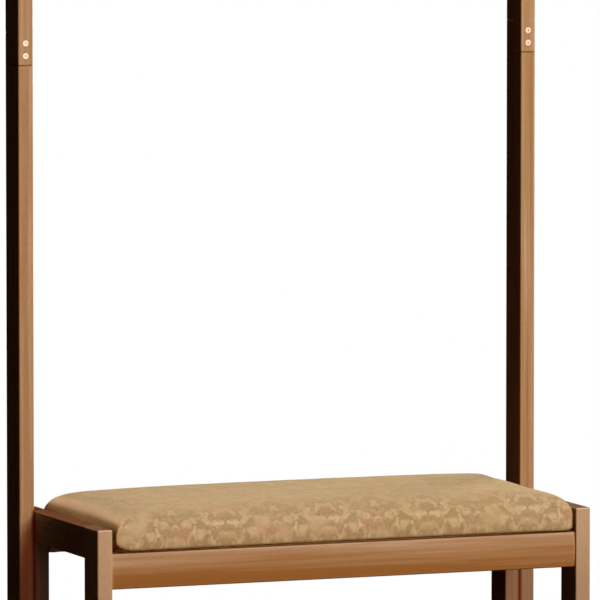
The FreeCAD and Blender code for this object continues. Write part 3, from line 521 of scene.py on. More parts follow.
# clean, dull: its colour and that of its duller patches; rough: from clean to handled
metals = dict(
    nickelPlatedSteel=dict(clean="D6B8A0", dull="AE927C", rough=(0.38, 0.55), patch=2.5 * mm,
                           nodes=("lap_screws",)),
    zincPlatedSteel=dict(clean="C4C7C6", dull="9DA09E", rough=(0.30, 0.52), patch=3 * mm,
                         nodes=("corner_block_screws", "hanging_rod_screws", "leg_bolts",
                                "seat_cleat_screws", "shoe_slat_screws", "top_rail_bolts")),
    turnedBrass=dict(clean="D8B566", dull="A98442", rough=(0.25, 0.42), patch=2 * mm,
                     nodes=("lap_threaded_inserts", "leg_threaded_inserts",
                            "top_rail_barrel_nuts")),
)
handling = dict(colourEdges=(0.35, 0.7), roughEdges=(0.3, 0.7), turning=(0.25 * mm, 4 * mm),
                bump=0.02 * mm)


def handledMetal(name, m, wear):
    # plated steel and turned brass: bright, clouded by handling, with hair-fine turning marks
    material, tree = newMaterial(name)
    place = addNode(tree, "ShaderNodeTexCoord").outputs["Object"]
    cloud = addNode(tree, "ShaderNodeTexNoise", {
        "Vector": scaled(tree, place, m["patch"], m["patch"]), "Scale": 1.0,
        "Detail": 3.0}).outputs[0]
    stops = zip(wear["colourEdges"], (m["clean"], m["dull"]))
    colour = addNode(tree, "ShaderNodeValToRGB", {0: cloud}, stops).outputs[0]
    rough = addNode(tree, "ShaderNodeMapRange", {
        "Value": cloud, "From Min": wear["roughEdges"][0], "From Max": wear["roughEdges"][1],
        "To Min": m["rough"][0], "To Max": m["rough"][1]}).outputs[0]
    marks = addNode(tree, "ShaderNodeTexNoise", {
        "Vector": scaled(tree, place, *wear["turning"]), "Scale": 1.0,
        "Detail": 1.0}).outputs[0]
    bump = addNode(tree, "ShaderNodeBump", {"Height": marks, "Distance": wear["bump"],
                   "Strength": 0.5}).outputs[0]
    shader = addNode(tree, "ShaderNodeBsdfPrincipled", {
        "Base Color": colour, "Metallic": 1.0, "Roughness": rough, "Normal": bump}).outputs[0]
    addNode(tree, "ShaderNodeOutputMaterial", {"Surface": shader})
    return material


for name, m in metals.items():
    metal = handledMetal(name, m, handling)
    for node in m["nodes"]:
        paint(node, metal)

glideNylon = dict(dark="3B2C22", worn="6A5646", rough=0.5, scuff=4 * mm, scuffHigh=2 * mm,
                  bump=0.1 * mm)


def mouldedNylon(g):
    # moulded nylon: dull brown, scuffed paler where it meets the floor
    material, tree = newMaterial("mouldedNylon")
    place = addNode(tree, "ShaderNodeTexCoord").outputs["Object"]
    cloud = addNode(tree, "ShaderNodeTexNoise", {
        "Vector": scaled(tree, place, g["scuff"], g["scuff"]), "Scale": 1.0,
        "Detail": 4.0}).outputs[0]
    height = addNode(tree, "ShaderNodeSeparateXYZ", {0: place}).outputs["Z"]
    scuffed = addNode(tree, "ShaderNodeMapRange", {"Value": height, "From Min": g["scuffHigh"],
                      "From Max": 0.0}).outputs[0]
    scuffed = addNode(tree, "ShaderNodeMath", {0: scuffed, 1: cloud},
                      operation="MULTIPLY").outputs[0]
    colour = addNode(tree, "ShaderNodeMix", {"Factor": scuffed, "A": linear(g["dark"]),
                     "B": linear(g["worn"])}, data_type="RGBA").outputs["Result"]
    bump = addNode(tree, "ShaderNodeBump", {"Height": cloud, "Distance": g["bump"],
                   "Strength": 0.4}).outputs[0]
    shader = addNode(tree, "ShaderNodeBsdfPrincipled", {
        "Base Color": colour, "Roughness": g["rough"], "Normal": bump}).outputs[0]
    addNode(tree, "ShaderNodeOutputMaterial", {"Surface": shader})
    return material


paint("floor_glides", mouldedNylon(glideNylon))
print("stage: bare wood, metal and nylon")

# left to shoulder: where its faces lie; the rest: how it is rounded, crowned and eased
# underInsets, topInsets: how far in each level line lies, underneath and on top
# lift: how far the lower edge turns up at the left and at the right corners
# endFall, cornerSquare: at the right end the top falls toward the front, its corner stays square
cushion = dict(left=-416.0 * mm, right=420.0 * mm, front=-183.2 * mm, back=182.6 * mm,
               bottom=389.6 * mm, shoulder=455.3 * mm, crown=4.6 * mm, crownPowers=(2.6, 3.2),
               endRound=44 * mm, edgeRound=34 * mm, topRound=34 * mm, topSteps=13,
               lowerRound=7.5 * mm, lowerSteps=5, cornerRound=(2.5 * mm, 7.5 * mm),
               leastRound=0.2 * mm, cornerSteps=8, sidePoints=(90, 40), cornerGrow=0.30,
               underInsets=(120 * mm, 60 * mm, 30 * mm, 16 * mm), poleGap=1 * mm,
               topInsets=(8 * mm, 20 * mm, 36 * mm, 56 * mm, 80 * mm, 105 * mm, 130 * mm),
               lift=(8 * mm, 1.5 * mm), liftReach=14 * mm, leftSkew=2.5 * mm, leftEase=1.3,
               leftSlope=0.55, endFall=2.2 * mm, endFallFrom=0.2, endReach=60 * mm,
               cornerSquare=0.5, pullIn=1.6 * mm, foamWave=0.9 * mm, foamScale=14,
               foamFrom=20 * mm, voxel=4.2 * mm, smoothing=(2, 0.5), fill=0.85)
# the cloth over the foam: how it is held, how it is filled, and the most that it moves
padding = dict(heldTo=15 * mm, heldFade=12 * mm, seamHold=0.75, seamReach=14 * mm, pressure=4.0,
               mass=2.5, air=2.0, tension=40.0, shear=0.4, bending=4.0, quality=6, frames=20,
               cap=3.5 * mm)
# pulls along the stapled edge, folded corner seams, the recess over the seat board, and how far
# a face has turned to the end (0 to 1) where the cloth goes over the end and not the long side
cover = dict(puckerStep=38 * mm, puckerDeep=0.8 * mm, puckerHigh=24 * mm, puckerFade=1.5,
             puckerStray=(9, 0.55), uprightCut=1.1, foldDeep=1.6 * mm, foldWide=2.6 * mm,
             foldIn=9 * mm, foldReach=16 * mm, foldTop=6 * mm, foldFade=20 * mm,
             endCut=(1.4, 0.2), boardGap=0.4 * mm, boardDrop=10 * mm, turnOver=(0.4, 0.6))


def middleAndHalf(c):
    # the middle of the cushion's plan and half its size, across and front to back
    midX, midY = (c["left"] + c["right"]) / 2, (c["front"] + c["back"]) / 2
    return midX, midY, (c["right"] - c["left"]) / 2, (c["back"] - c["front"]) / 2


def atRightEnd(c, u, halfX):
    # 1 at the right end, fading out along the cushion
    return math.exp(-((1 - u) * halfX / c["endReach"]) ** 2)


def cushionRing(c, turn, height, corner=0):
    # one level line: a rounded rectangle, its sides pulled in a little between the corners
    insetX, insetY = turn
    x0, x1 = c["left"] + insetX * c["leftEase"], c["right"] - insetX
    y0, y1 = c["front"] + insetY, c["back"] - insetY
    least, (longSide, shortSide) = c["leastRound"], c["sidePoints"]
    near, far = (max(min(r + corner, (y1 - y0) / 2 - least), least) for r in c["cornerRound"])
    # each corner's centre, radius and first angle, then the side before it and its points
    sides = ((x1 - near, y0 + near, near, -90, (x0 + near, y0, x1 - near, y0), longSide),
             (x1 - far, y1 - far, far, 0, (x1, y0 + near, x1, y1 - far), shortSide),
             (x0 + far, y1 - far, far, 90, (x1 - far, y1, x0 + far, y1), longSide),
             (x0 + near, y0 + near, near, 180, (x0, y1 - far, x0, y0 + near), shortSide))
    points = []
    for cx, cy, radius, start, run, count in sides:
        for i in range(count):
            share = i / count
            points.append((run[0] + (run[2] - run[0]) * share,
                           run[1] + (run[3] - run[1]) * share))
        for i in range(c["cornerSteps"]):
            a = math.radians(start + 90 * i / c["cornerSteps"])
            points.append((cx + radius * math.cos(a), cy + radius * math.sin(a)))
    midX, midY, halfX, halfY = middleAndHalf(c)
    ring = []
    for x, y in points:
        u, v = (x - midX) / halfX, (y - midY) / halfY
        skew = c["leftSkew"] * max(-u, 0) * (v + 1) / 2
        # the left end slopes more gently toward the front
        skew += c["leftSlope"] * min(insetX, c["endRound"]) * max(-u, 0) ** 4 * (1 - v) / 2
        # the right front corner is stuffed squarer than the rest
        square = (c["cornerSquare"] * min(insetY, c["edgeRound"]) * atRightEnd(c, u, halfX)
                  * max(-v, 0) ** 4)
        ring.append((x - c["pullIn"] * u * (1 - v * v) + skew,
                     y - c["pullIn"] * v * (1 - u * u) - square, height(u, v)))
    return ring


def cushionShell(c):
    # level lines from the middle of the underside, out round the edges, to the middle of the top
    halfX, halfY = middleAndHalf(c)[2:]

    def crown(u, v):
        # how far the top stands above its shoulder: full in the middle, falling to the edges,
        # and at the right end toward the front
        across, deep = c["crownPowers"]
        full = c["crown"] * (1 - abs(u) ** across) * (1 - abs(v) ** deep)
        return full - c["endFall"] * atRightEnd(c, u, halfX) * max(c["endFallFrom"] - v, 0)

    def tuck(u, v):
        # the lower edge turns up where the cover is folded at each corner
        away = math.hypot((1 - abs(u)) * halfX, (1 - abs(v)) * halfY)
        return c["lift"][u > 0] * math.exp(-(away / c["liftReach"]) ** 2)

    rings = []
    for inset in (halfY - c["poleGap"], *c["underInsets"]):
        rings.append(cushionRing(c, (inset, inset), lambda u, v: c["bottom"]))
    for i in range(c["lowerSteps"] + 1):
        a = math.pi / 2 * i / c["lowerSteps"]
        inset, level = c["lowerRound"] * (1 - math.sin(a)), c["lowerRound"] * (1 - math.cos(a))
        rings.append(cushionRing(c, (inset, inset),
                                 lambda u, v: c["bottom"] + level + tuck(u, v)))
    base = c["shoulder"] - c["topRound"]
    for i in range(c["topSteps"] + 1):
        a = math.pi / 2 * i / c["topSteps"]
        turn, level = 1 - math.cos(a), c["topRound"] * math.sin(a)
        rings.append(cushionRing(c, (c["endRound"] * turn, c["edgeRound"] * turn),
                                 lambda u, v: base + level + crown(u, v),
                                 c["edgeRound"] * turn * c["cornerGrow"]))
    for more in (*c["topInsets"], halfY - c["edgeRound"] - c["poleGap"]):
        rings.append(cushionRing(c, (c["endRound"] + more, c["edgeRound"] + more),
                                 lambda u, v: c["shoulder"] + crown(u, v),
                                 c["edgeRound"] * c["cornerGrow"]))
    bm = bmesh.new()
    loops = [[bm.verts.new(p) for p in ring] for ring in rings]
    count = len(loops[0])
    for lower, upper in zip(loops, loops[1:]):
        for i in range(count):
            j = (i + 1) % count
            bm.faces.new((lower[i], lower[j], upper[j], upper[i]))
    bm.faces.new(reversed(loops[0]))
    bm.faces.new(loops[-1])
    bmesh.ops.recalc_face_normals(bm, faces=bm.faces)
    return meshPiece("seatCushion", bm)


def bakeModifiers(piece):
    # the evaluated shape becomes the piece's own plain mesh
    graph = bpy.context.evaluated_depsgraph_get()
    mesh = bpy.data.meshes.new_from_object(piece.evaluated_get(graph))
    piece.modifiers.clear()
    piece.data = mesh
    return piece


def readVectors(mesh, kind):
    # each point's place ("co") or its normal ("normal")
    vectors = np.empty(len(mesh.vertices) * 3, np.float32)
    mesh.vertices.foreach_get(kind, vectors)
    return vectors.reshape(-1, 3)


def writePlaces(mesh, places):
    mesh.vertices.foreach_set("co", np.ascontiguousarray(places, np.float32).ravel())
    mesh.update()


def padOut(piece, c, pad):
    # cloth over foam: pressure fills the cover, held along its lower edge and its corner seams
    start = readVectors(piece.data, "co")
    for p in start:
        if p[2] > c["shoulder"] - c["foamFrom"]:
            p[2] += c["foamWave"] * noise.noise(Vector(p) * c["foamScale"])
    writePlaces(piece.data, start)
    held = piece.vertex_groups.new(name="held")
    grips = np.clip((c["bottom"] + pad["heldTo"] - start[:, 2]) / pad["heldFade"], 0, 1)
    endGap = np.minimum(start[:, 0] - c["left"], c["right"] - start[:, 0])
    sideGap = np.minimum(start[:, 1] - c["front"], c["back"] - start[:, 1])
    seam = pad["seamHold"] * np.clip(1 - np.hypot(endGap, sideGap) / pad["seamReach"], 0, 1)
    grips = np.maximum(grips, seam)
    for i in np.nonzero(grips)[0]:
        held.add([int(i)], float(grips[i]), "REPLACE")
    cloth = piece.modifiers.new("padding", "CLOTH")
    s = cloth.settings
    s.quality, s.mass, s.air_damping = pad["quality"], pad["mass"], pad["air"]
    s.tension_stiffness = s.compression_stiffness = pad["tension"]
    s.shear_stiffness, s.bending_stiffness = pad["tension"] * pad["shear"], pad["bending"]
    s.use_pressure, s.uniform_pressure_force = True, pad["pressure"]
    s.effector_weights.gravity = 0
    s.vertex_group_mass = "held"
    cloth.point_cache.frame_start, cloth.point_cache.frame_end = 1, pad["frames"]
    scene = bpy.context.scene
    for step in range(1, pad["frames"] + 1):
        scene.frame_set(step)
    shaped = piece.evaluated_get(bpy.context.evaluated_depsgraph_get())
    moved = readVectors(shaped.data, "co") - start
    far = np.linalg.norm(moved, axis=1, keepdims=True)
    print("  cloth moved, mm: mean", round(float(far.mean()) / mm, 2),
          "most", round(float(far.max()) / mm, 2))
    moved *= np.minimum(1, pad["cap"] / np.maximum(far, 1e-9))
    piece.modifiers.clear()
    piece.vertex_groups.clear()
    scene.frame_set(1)
    writePlaces(piece.data, start + moved)


def foldAndPull(piece, c, cover):
    # a folded seam near each upright corner, and shallow pulls along the stapled lower edge
    mesh = piece.data
    places = readVectors(mesh, "co").astype(float)
    normals = readVectors(mesh, "normal").astype(float)
    high = c["bottom"] + cover["puckerHigh"] - places[:, 2]
    low = np.clip(high / cover["puckerHigh"], 0, 1) ** cover["puckerFade"]
    upright = np.clip(1 - np.abs(normals[:, 2]) * cover["uprightCut"], 0, 1)
    along = np.where(np.abs(normals[:, 1]) > np.abs(normals[:, 0]), places[:, 0], places[:, 1])
    often, much = cover["puckerStray"]
    stray = np.array([noise.noise(Vector((a * often, 0.3, 0.7))) for a in along])
    pulls = np.cos((along / cover["puckerStep"] + stray * much) * 2 * math.pi)
    depth = cover["puckerDeep"] * pulls * low * upright
    height = c["shoulder"] - cover["foldTop"] - places[:, 2]
    below = np.clip(height / cover["foldFade"], 0, 1)
    steep, less = cover["endCut"]
    endFace = np.clip(np.abs(normals[:, 0]) * steep - less, 0, 1)
    for side in (c["left"], c["right"]):
        atSide = np.abs(places[:, 0] - side) < cover["foldReach"]
        for end, inward in ((c["front"], 1), (c["back"], -1)):
            away = places[:, 1] - (end + inward * cover["foldIn"])
            near = np.exp(-(away / cover["foldWide"]) ** 2) * atSide
            depth -= cover["foldDeep"] * near * below * endFace
    writePlaces(mesh, places + normals * depth[:, None])


def hollowForBoard(piece, cover):
    # the underside is let in over the seat board, so that the cover sits round its edges
    low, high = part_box("seat_board")
    bm = bmesh.new()
    bmesh.ops.create_cube(bm, size=1)
    for v in bm.verts:
        for axis in (0, 1):
            v.co[axis] = (high[axis] + cover["boardGap"]) * (1 if v.co[axis] > 0 else -1)
        v.co.z = high.z + cover["boardGap"] if v.co.z > 0 else low.z - cover["boardDrop"]
    cutter = meshPiece("boardCutter", bm)
    recess = piece.modifiers.new("boardRecess", "BOOLEAN")
    recess.object, recess.operation, recess.solver = cutter, "DIFFERENCE", "MANIFOLD"
    bakeModifiers(piece)
    bpy.data.objects.remove(cutter)


def layCloth(piece, c, cover):
    # where each point lies on the flat cloth: over the top, and down the sides as a turned edge
    mesh = piece.data
    places = readVectors(mesh, "co").astype(float)
    normals = np.abs(readVectors(mesh, "normal"))
    start, full = cover["turnOver"]
    endward = normals[:, 0] / (normals[:, 0] + normals[:, 1] + 1e-6)
    endward = np.clip((endward - start) / (full - start), 0, 1)
    drop = c["shoulder"] - places[:, 2]
    across = places[:, 0] + np.sign(places[:, 0]) * drop * endward
    along = places[:, 1] + np.sign(places[:, 1]) * drop * (1 - endward)
    flat = np.stack([across, along, np.zeros(len(places))], 1).astype(np.float32)
    cloth = mesh.attributes.new("clothPlace", "FLOAT_VECTOR", "POINT")
    cloth.data.foreach_set("vector", flat.ravel())


def makeCushion(c, pad, cover):
    piece = cushionShell(c)
    remesh = piece.modifiers.new("evenMesh", "REMESH")
    remesh.mode, remesh.voxel_size = "VOXEL", c["voxel"]
    bakeModifiers(piece)
    smooth = piece.modifiers.new("evenSmooth", "SMOOTH")
    smooth.iterations, smooth.factor = c["smoothing"]
    bakeModifiers(piece)
    padOut(piece, c, pad)
    foldAndPull(piece, c, cover)
    hollowForBoard(piece, cover)
    layCloth(piece, c, cover)
    print("  cushion mesh:", len(piece.data.vertices), "points")
    return piece


chenille = dict(
    ground="BA9A72", gold="B4976A", rose="C29672", figure="CBAE86", spark="D6BB94", shade="825F3A",
    # painted shade under the lower edge, on the top and at the foot of the ends; painted light on
    # the left end
    underside="94601F", shadedTop="B08E66", fadeAndPaintedLight="E6B488", lowEndShade="98632B",
    mirror=92 * mm, axis=62 * mm, shakeWide=30 * mm, shake=6 * mm, yarn=2.2 * mm,
    # on: the cloth as it lies, shaken a little, or folded into the mirrored figure
    # part: which part of the cloud; edges: where a patch starts and where it is full
    spots=dict(
        gold=dict(on="cloth", size=(80 * mm, 80 * mm), detail=3.0, part=0.0, edges=[(0.42, 0.60)],
                  share=0.6),
        rose=dict(on="cloth", size=(48 * mm, 48 * mm), detail=3.0, part=9.0, edges=[(0.50, 0.64)],
                  share=0.85),
        clusters=dict(on="cloth", size=(48 * mm, 60 * mm), detail=2.0, part=5.0,
                      edges=[(0.33, 0.50)], share=1.0),
        leaves=dict(on="figure", size=(21 * mm, 30 * mm), detail=1.5, part=2.0,
                    edges=[(0.47, 0.60), (0.76, 0.62)], share=0.46),
        veins=dict(on="figure", size=(21 * mm, 30 * mm), detail=1.5, part=2.0,
                   edges=[(0.37, 0.47), (0.58, 0.47)], share=0.38),
        strokes=dict(on="figure", size=(10 * mm, 15 * mm), detail=1.0, part=7.0,
                     edges=[(0.52, 0.70)], share=0.5),
        specks=dict(on="shaken", size=(6 * mm, 6 * mm), detail=1.5, part=3.0,
                    edges=[(0.58, 0.76)], share=0.6)),
    # which way the cover faces there: axis, where it starts, where it is full, how strong
    turned=dict(underside=("Z", 0.0, -0.8, 0.85), shadedTop=("Z", 0.8, 1.0, 0.15),
                fadeAndPaintedLight=("X", -0.22, -0.6, 0.85)),
    paintedLift=1.24, paintedLiftFacing=(0.4, -0.1), topKeeps=0.4, ribShade=0.05, lowEndShadeHigh=(11 * mm, 2 * mm),
    lowEndShadeShare=0.8, lowEndShadeFacing=(0.3, 0.7), ribEdges=(0.1, 0.75), ribDeep=0.15, rough=0.9,
    sheen=0.2, bump=1.0 * mm, soft=0.35, softDeep=25 * mm, softTint=(1.0, 0.75, 0.45),
    nap=0.62, napWay=(0.34, -0.1, 0.93))


def wovenSpots(tree, place, spot):
    # soft-edged patches: thicker and thinner places of a cloud, cut off at each pair of edges
    where = addNode(tree, "ShaderNodeVectorMath", {
        0: place, 1: (1 / spot["size"][0], 1 / spot["size"][1], 1.0), 2: (spot["part"],) * 3},
        operation="MULTIPLY_ADD").outputs[0]
    cloud = addNode(tree, "ShaderNodeTexNoise", {"Vector": where, "Scale": 1.0,
                    "Detail": spot["detail"]}).outputs[0]
    spots = spot["share"]
    for start, full in spot["edges"]:
        inside = addNode(tree, "ShaderNodeMapRange", {"Value": cloud, "From Min": start,
                         "From Max": full}, interpolation_type="SMOOTHSTEP").outputs[0]
        spots = addNode(tree, "ShaderNodeMath", {0: inside, 1: spots},
                        operation="MULTIPLY").outputs[0]
    return spots


def loomPlaces(tree, f):
    # the loom repeats its figure mirrored, and the pile lies a little uneven over it
    cloth = addNode(tree, "ShaderNodeAttribute", attribute_name="clothPlace").outputs["Vector"]
    stray = addNode(tree, "ShaderNodeTexNoise", {
        "Vector": scaled(tree, cloth, f["shakeWide"], 1.0), "Scale": 1.0,
        "Detail": 1.0}).outputs["Color"]
    shaken = addNode(tree, "ShaderNodeVectorMath", {0: stray, 1: (f["shake"],) * 3, 2: cloth},
                     operation="MULTIPLY_ADD").outputs[0]
    spot = addNode(tree, "ShaderNodeSeparateXYZ", {0: shaken}).outputs
    across = addNode(tree, "ShaderNodeMath", {0: spot["X"], 1: 4 * f["mirror"] - f["axis"]},
                     operation="ADD").outputs[0]
    folded = addNode(tree, "ShaderNodeMath", {0: across, 1: f["mirror"]},
                     operation="PINGPONG").outputs[0]
    figure = addNode(tree, "ShaderNodeCombineXYZ", {"X": folded, "Y": spot["Y"]}).outputs[0]
    return dict(cloth=cloth, shaken=shaken, figure=figure)


def lowEndShade(tree, facing, f):
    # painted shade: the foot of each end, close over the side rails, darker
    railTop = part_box("side_rail_left")[1].z
    objectPlace = addNode(tree, "ShaderNodeTexCoord").outputs["Object"]
    height = addNode(tree, "ShaderNodeSeparateXYZ", {0: objectPlace}).outputs["Z"]
    low = addNode(tree, "ShaderNodeMapRange", {
        "Value": height, "From Min": railTop + f["lowEndShadeHigh"][0],
        "From Max": railTop + f["lowEndShadeHigh"][1]}, interpolation_type="SMOOTHSTEP").outputs[0]
    sideways = addNode(tree, "ShaderNodeMath", {0: facing["X"]}, operation="ABSOLUTE").outputs[0]
    sideways = addNode(tree, "ShaderNodeMapRange", {
        "Value": sideways, "From Min": f["lowEndShadeFacing"][0], "From Max": f["lowEndShadeFacing"][1],
        "To Max": f["lowEndShadeShare"]}, interpolation_type="SMOOTHSTEP").outputs[0]
    return addNode(tree, "ShaderNodeMath", {0: low, 1: sideways}, operation="MULTIPLY").outputs[0]


def chenilleDamask(f):
    # chenille damask: soft cut-pile yarn, pale mirrored leaves on a darker ground, mottled
    material, tree = newMaterial("chenilleDamask")
    places = loomPlaces(tree, f)
    normal = addNode(tree, "ShaderNodeTexCoord").outputs["Normal"]
    facing = addNode(tree, "ShaderNodeSeparateXYZ", {0: normal}).outputs
    shares = {name: wovenSpots(tree, places[spot["on"]], spot)
              for name, spot in f["spots"].items()}
    relief = addNode(tree, "ShaderNodeMath", {0: shares["leaves"], 1: shares["strokes"]},
                     operation="ADD").outputs[0]
    # sat on for years: the figure is rubbed faint on top
    kept = addNode(tree, "ShaderNodeMapRange", {"Value": facing["Z"], "From Min": 0.6,
                   "To Min": 1.0, "To Max": f["topKeeps"]}).outputs[0]
    clusters = addNode(tree, "ShaderNodeMath", {0: shares["clusters"], 1: kept},
                       operation="MULTIPLY").outputs[0]
    for name, over in dict(leaves=kept, veins=clusters, strokes=clusters, specks=clusters).items():
        shares[name] = addNode(tree, "ShaderNodeMath", {0: shares[name], 1: over},
                               operation="MULTIPLY").outputs[0]
    # cut pile: short fuzzy ribs, with painted shade down between them; coarser than real, so that
    # they show
    ribs = addNode(tree, "ShaderNodeTexVoronoi", {
        "Vector": scaled(tree, places["cloth"], f["yarn"], f["yarn"]), "Scale": 1.0},
        feature="F1").outputs["Distance"]
    between = addNode(tree, "ShaderNodeMapRange", {
        "Value": ribs, "From Min": f["ribEdges"][0], "From Max": f["ribEdges"][1],
        "To Max": f["ribShade"]},
        interpolation_type="SMOOTHSTEP").outputs[0]
    # painted shade under the lower edge and on the top, painted light on the left end
    for name, (axis, start, full, share) in f["turned"].items():
        shares[name] = addNode(tree, "ShaderNodeMapRange", {
            "Value": facing[axis], "From Min": start, "From Max": full, "To Max": share},
            interpolation_type="SMOOTHSTEP").outputs[0]
    colour = linear(f["ground"])
    for share, yarn in ((shares["gold"], "gold"), (shares["rose"], "rose"),
                        (shares["leaves"], "figure"), (shares["veins"], "shade"),
                        (shares["strokes"], "spark"), (shares["specks"], "shade"),
                        (between, "shade"), (shares["underside"], "underside"),
                        (shares["shadedTop"], "shadedTop"), (shares["fadeAndPaintedLight"], "fadeAndPaintedLight"),
                        (lowEndShade(tree, facing, f), "lowEndShade")):
        colour = addNode(tree, "ShaderNodeMix", {"Factor": share, "A": colour,
                         "B": linear(f[yarn])}, data_type="RGBA").outputs["Result"]
    # painted light: the upright faces paler, so the front is lit more evenly
    paintedLift = addNode(tree, "ShaderNodeMapRange", {
        "Value": facing["Z"], "From Min": f["paintedLiftFacing"][0], "From Max": f["paintedLiftFacing"][1],
        "To Min": 1.0, "To Max": f["paintedLift"]}, interpolation_type="SMOOTHSTEP").outputs[0]
    colour = addNode(tree, "ShaderNodeVectorMath", {0: colour, "Scale": paintedLift},
                     operation="SCALE").outputs[0]
    # the pile leans up and forward, so it takes light as a gentler slope would
    nap = addNode(tree, "ShaderNodeMix", {"Factor": f["nap"], "A": normal, "B": f["napWay"]},
                  data_type="VECTOR").outputs["Result"]
    nap = addNode(tree, "ShaderNodeVectorMath", {0: nap}, operation="NORMALIZE").outputs[0]
    depth = addNode(tree, "ShaderNodeMath", {
        0: between, 1: -f["ribDeep"] / f["ribShade"], 2: relief},
        operation="MULTIPLY_ADD").outputs[0]
    bump = addNode(tree, "ShaderNodeBump", {"Height": depth, "Distance": f["bump"],
                   "Strength": 0.5, "Normal": nap}).outputs[0]
    shader = addNode(tree, "ShaderNodeBsdfPrincipled", {
        "Base Color": colour, "Roughness": f["rough"], "Normal": bump,
        "Sheen Weight": f["sheen"], "Sheen Roughness": 0.5, "Sheen Tint": linear(f["gold"]),
        "Specular IOR Level": 0.05, "Subsurface Weight": f["soft"],
        "Subsurface Radius": f["softTint"], "Subsurface Scale": f["softDeep"]}).outputs[0]
    addNode(tree, "ShaderNodeOutputMaterial", {"Surface": shader})
    return material


seatCushion = makeCushion(cushion, padding, cover)
seatCushion.data.materials.clear()
seatCushion.data.materials.append(chenilleDamask(chenille))
seatCushion.data.shade_smooth()
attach(seatCushion, "seat")
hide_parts("seat_cushion")
print("stage: cushion")

lining = dict(margin=6 * mm, step=6 * mm, edgeFlat=34 * mm, slackReach=90 * mm, slackPower=0.7,
              sag=1.6 * mm, ripple=0.22 * mm, rippleStep=44 * mm, rippleReach=45 * mm,
              hemFlat=12 * mm,
              cloth="15151A", lint="4A4A4E", lintSize=14 * mm, dimple=1.6 * mm,
              dimpleDeep=0.2 * mm, rough=0.88)


def makeLining(c):
    # stretched under the board: flat where it is stapled, a little slack inside, faint pulls
    low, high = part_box("seat_lining")
    level = (low.z * 2 + high.z) / 3
    halfX, halfY = high.x - c["margin"], high.y - c["margin"]
    countX, countY = round(2 * halfX / c["step"]), round(2 * halfY / c["step"])
    bm = bmesh.new()
    rows = []
    for j in range(countY + 1):
        y = -halfY + 2 * halfY * j / countY
        row = []
        for i in range(countX + 1):
            x = -halfX + 2 * halfX * i / countX
            gapX, gapY = halfX - abs(x), halfY - abs(y)
            slack = [min(max((gap - c["edgeFlat"]) / c["slackReach"], 0), 1)
                     for gap in (gapX, gapY)]
            slack = (slack[0] * slack[1]) ** c["slackPower"]
            gap, along = (gapX, y) if gapX < gapY else (gapY, x)
            pull = (math.cos(along / c["rippleStep"] * 2 * math.pi)
                    * math.exp(-gap / c["rippleReach"]))
            lift = c["ripple"] * pull * min(gap / c["hemFlat"], 1)
            row.append(bm.verts.new((x, y, level - c["sag"] * slack + lift)))
        rows.append(row)
    for lower, upper in zip(rows, rows[1:]):
        for i in range(countX):
            bm.faces.new((lower[i], upper[i], upper[i + 1], lower[i + 1]))
    return meshPiece("seatLining", bm)


def spunBond(c):
    # spun-bonded polypropylene: matt black, a fine grid of pressed dimples, a little lint
    material, tree = newMaterial("spunBondLining")
    place = addNode(tree, "ShaderNodeTexCoord").outputs["Object"]
    dots = addNode(tree, "ShaderNodeTexVoronoi", {
        "Vector": scaled(tree, place, c["dimple"], c["dimple"]), "Scale": 1.0,
        "Randomness": 0.15}, feature="F1").outputs["Distance"]
    fluff = addNode(tree, "ShaderNodeTexNoise", {
        "Vector": scaled(tree, place, c["lintSize"], c["lintSize"]), "Scale": 1.0,
        "Detail": 5.0, "Roughness": 0.7}).outputs[0]
    lint = addNode(tree, "ShaderNodeMapRange", {"Value": fluff, "From Min": 0.55,
                   "From Max": 0.75, "To Max": 0.5}).outputs[0]
    colour = addNode(tree, "ShaderNodeMix", {"Factor": lint, "A": linear(c["cloth"]),
                     "B": linear(c["lint"])}, data_type="RGBA").outputs["Result"]
    bump = addNode(tree, "ShaderNodeBump", {"Height": dots, "Distance": c["dimpleDeep"],
                   "Strength": 0.6}).outputs[0]
    shader = addNode(tree, "ShaderNodeBsdfPrincipled", {
        "Base Color": colour, "Roughness": c["rough"], "Normal": bump,
        "Sheen Weight": 0.15, "Sheen Roughness": 0.5}).outputs[0]
    addNode(tree, "ShaderNodeOutputMaterial", {"Surface": shader})
    return material


seatLining = makeLining(lining)
seatLining.data.materials.append(spunBond(lining))
seatLining.data.shade_smooth()
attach(seatLining, "seat")
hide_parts("seat_lining")

staples = dict(inset=21 * mm, spacing=42 * mm, crown=10 * mm, crownPoints=9, bow=0.25 * mm,
               dipPower=6.0, thick=0.55 * mm, wide=1.2 * mm, wireRound=0.18 * mm,
               clear=0.1 * mm, skew=9, seed=7)


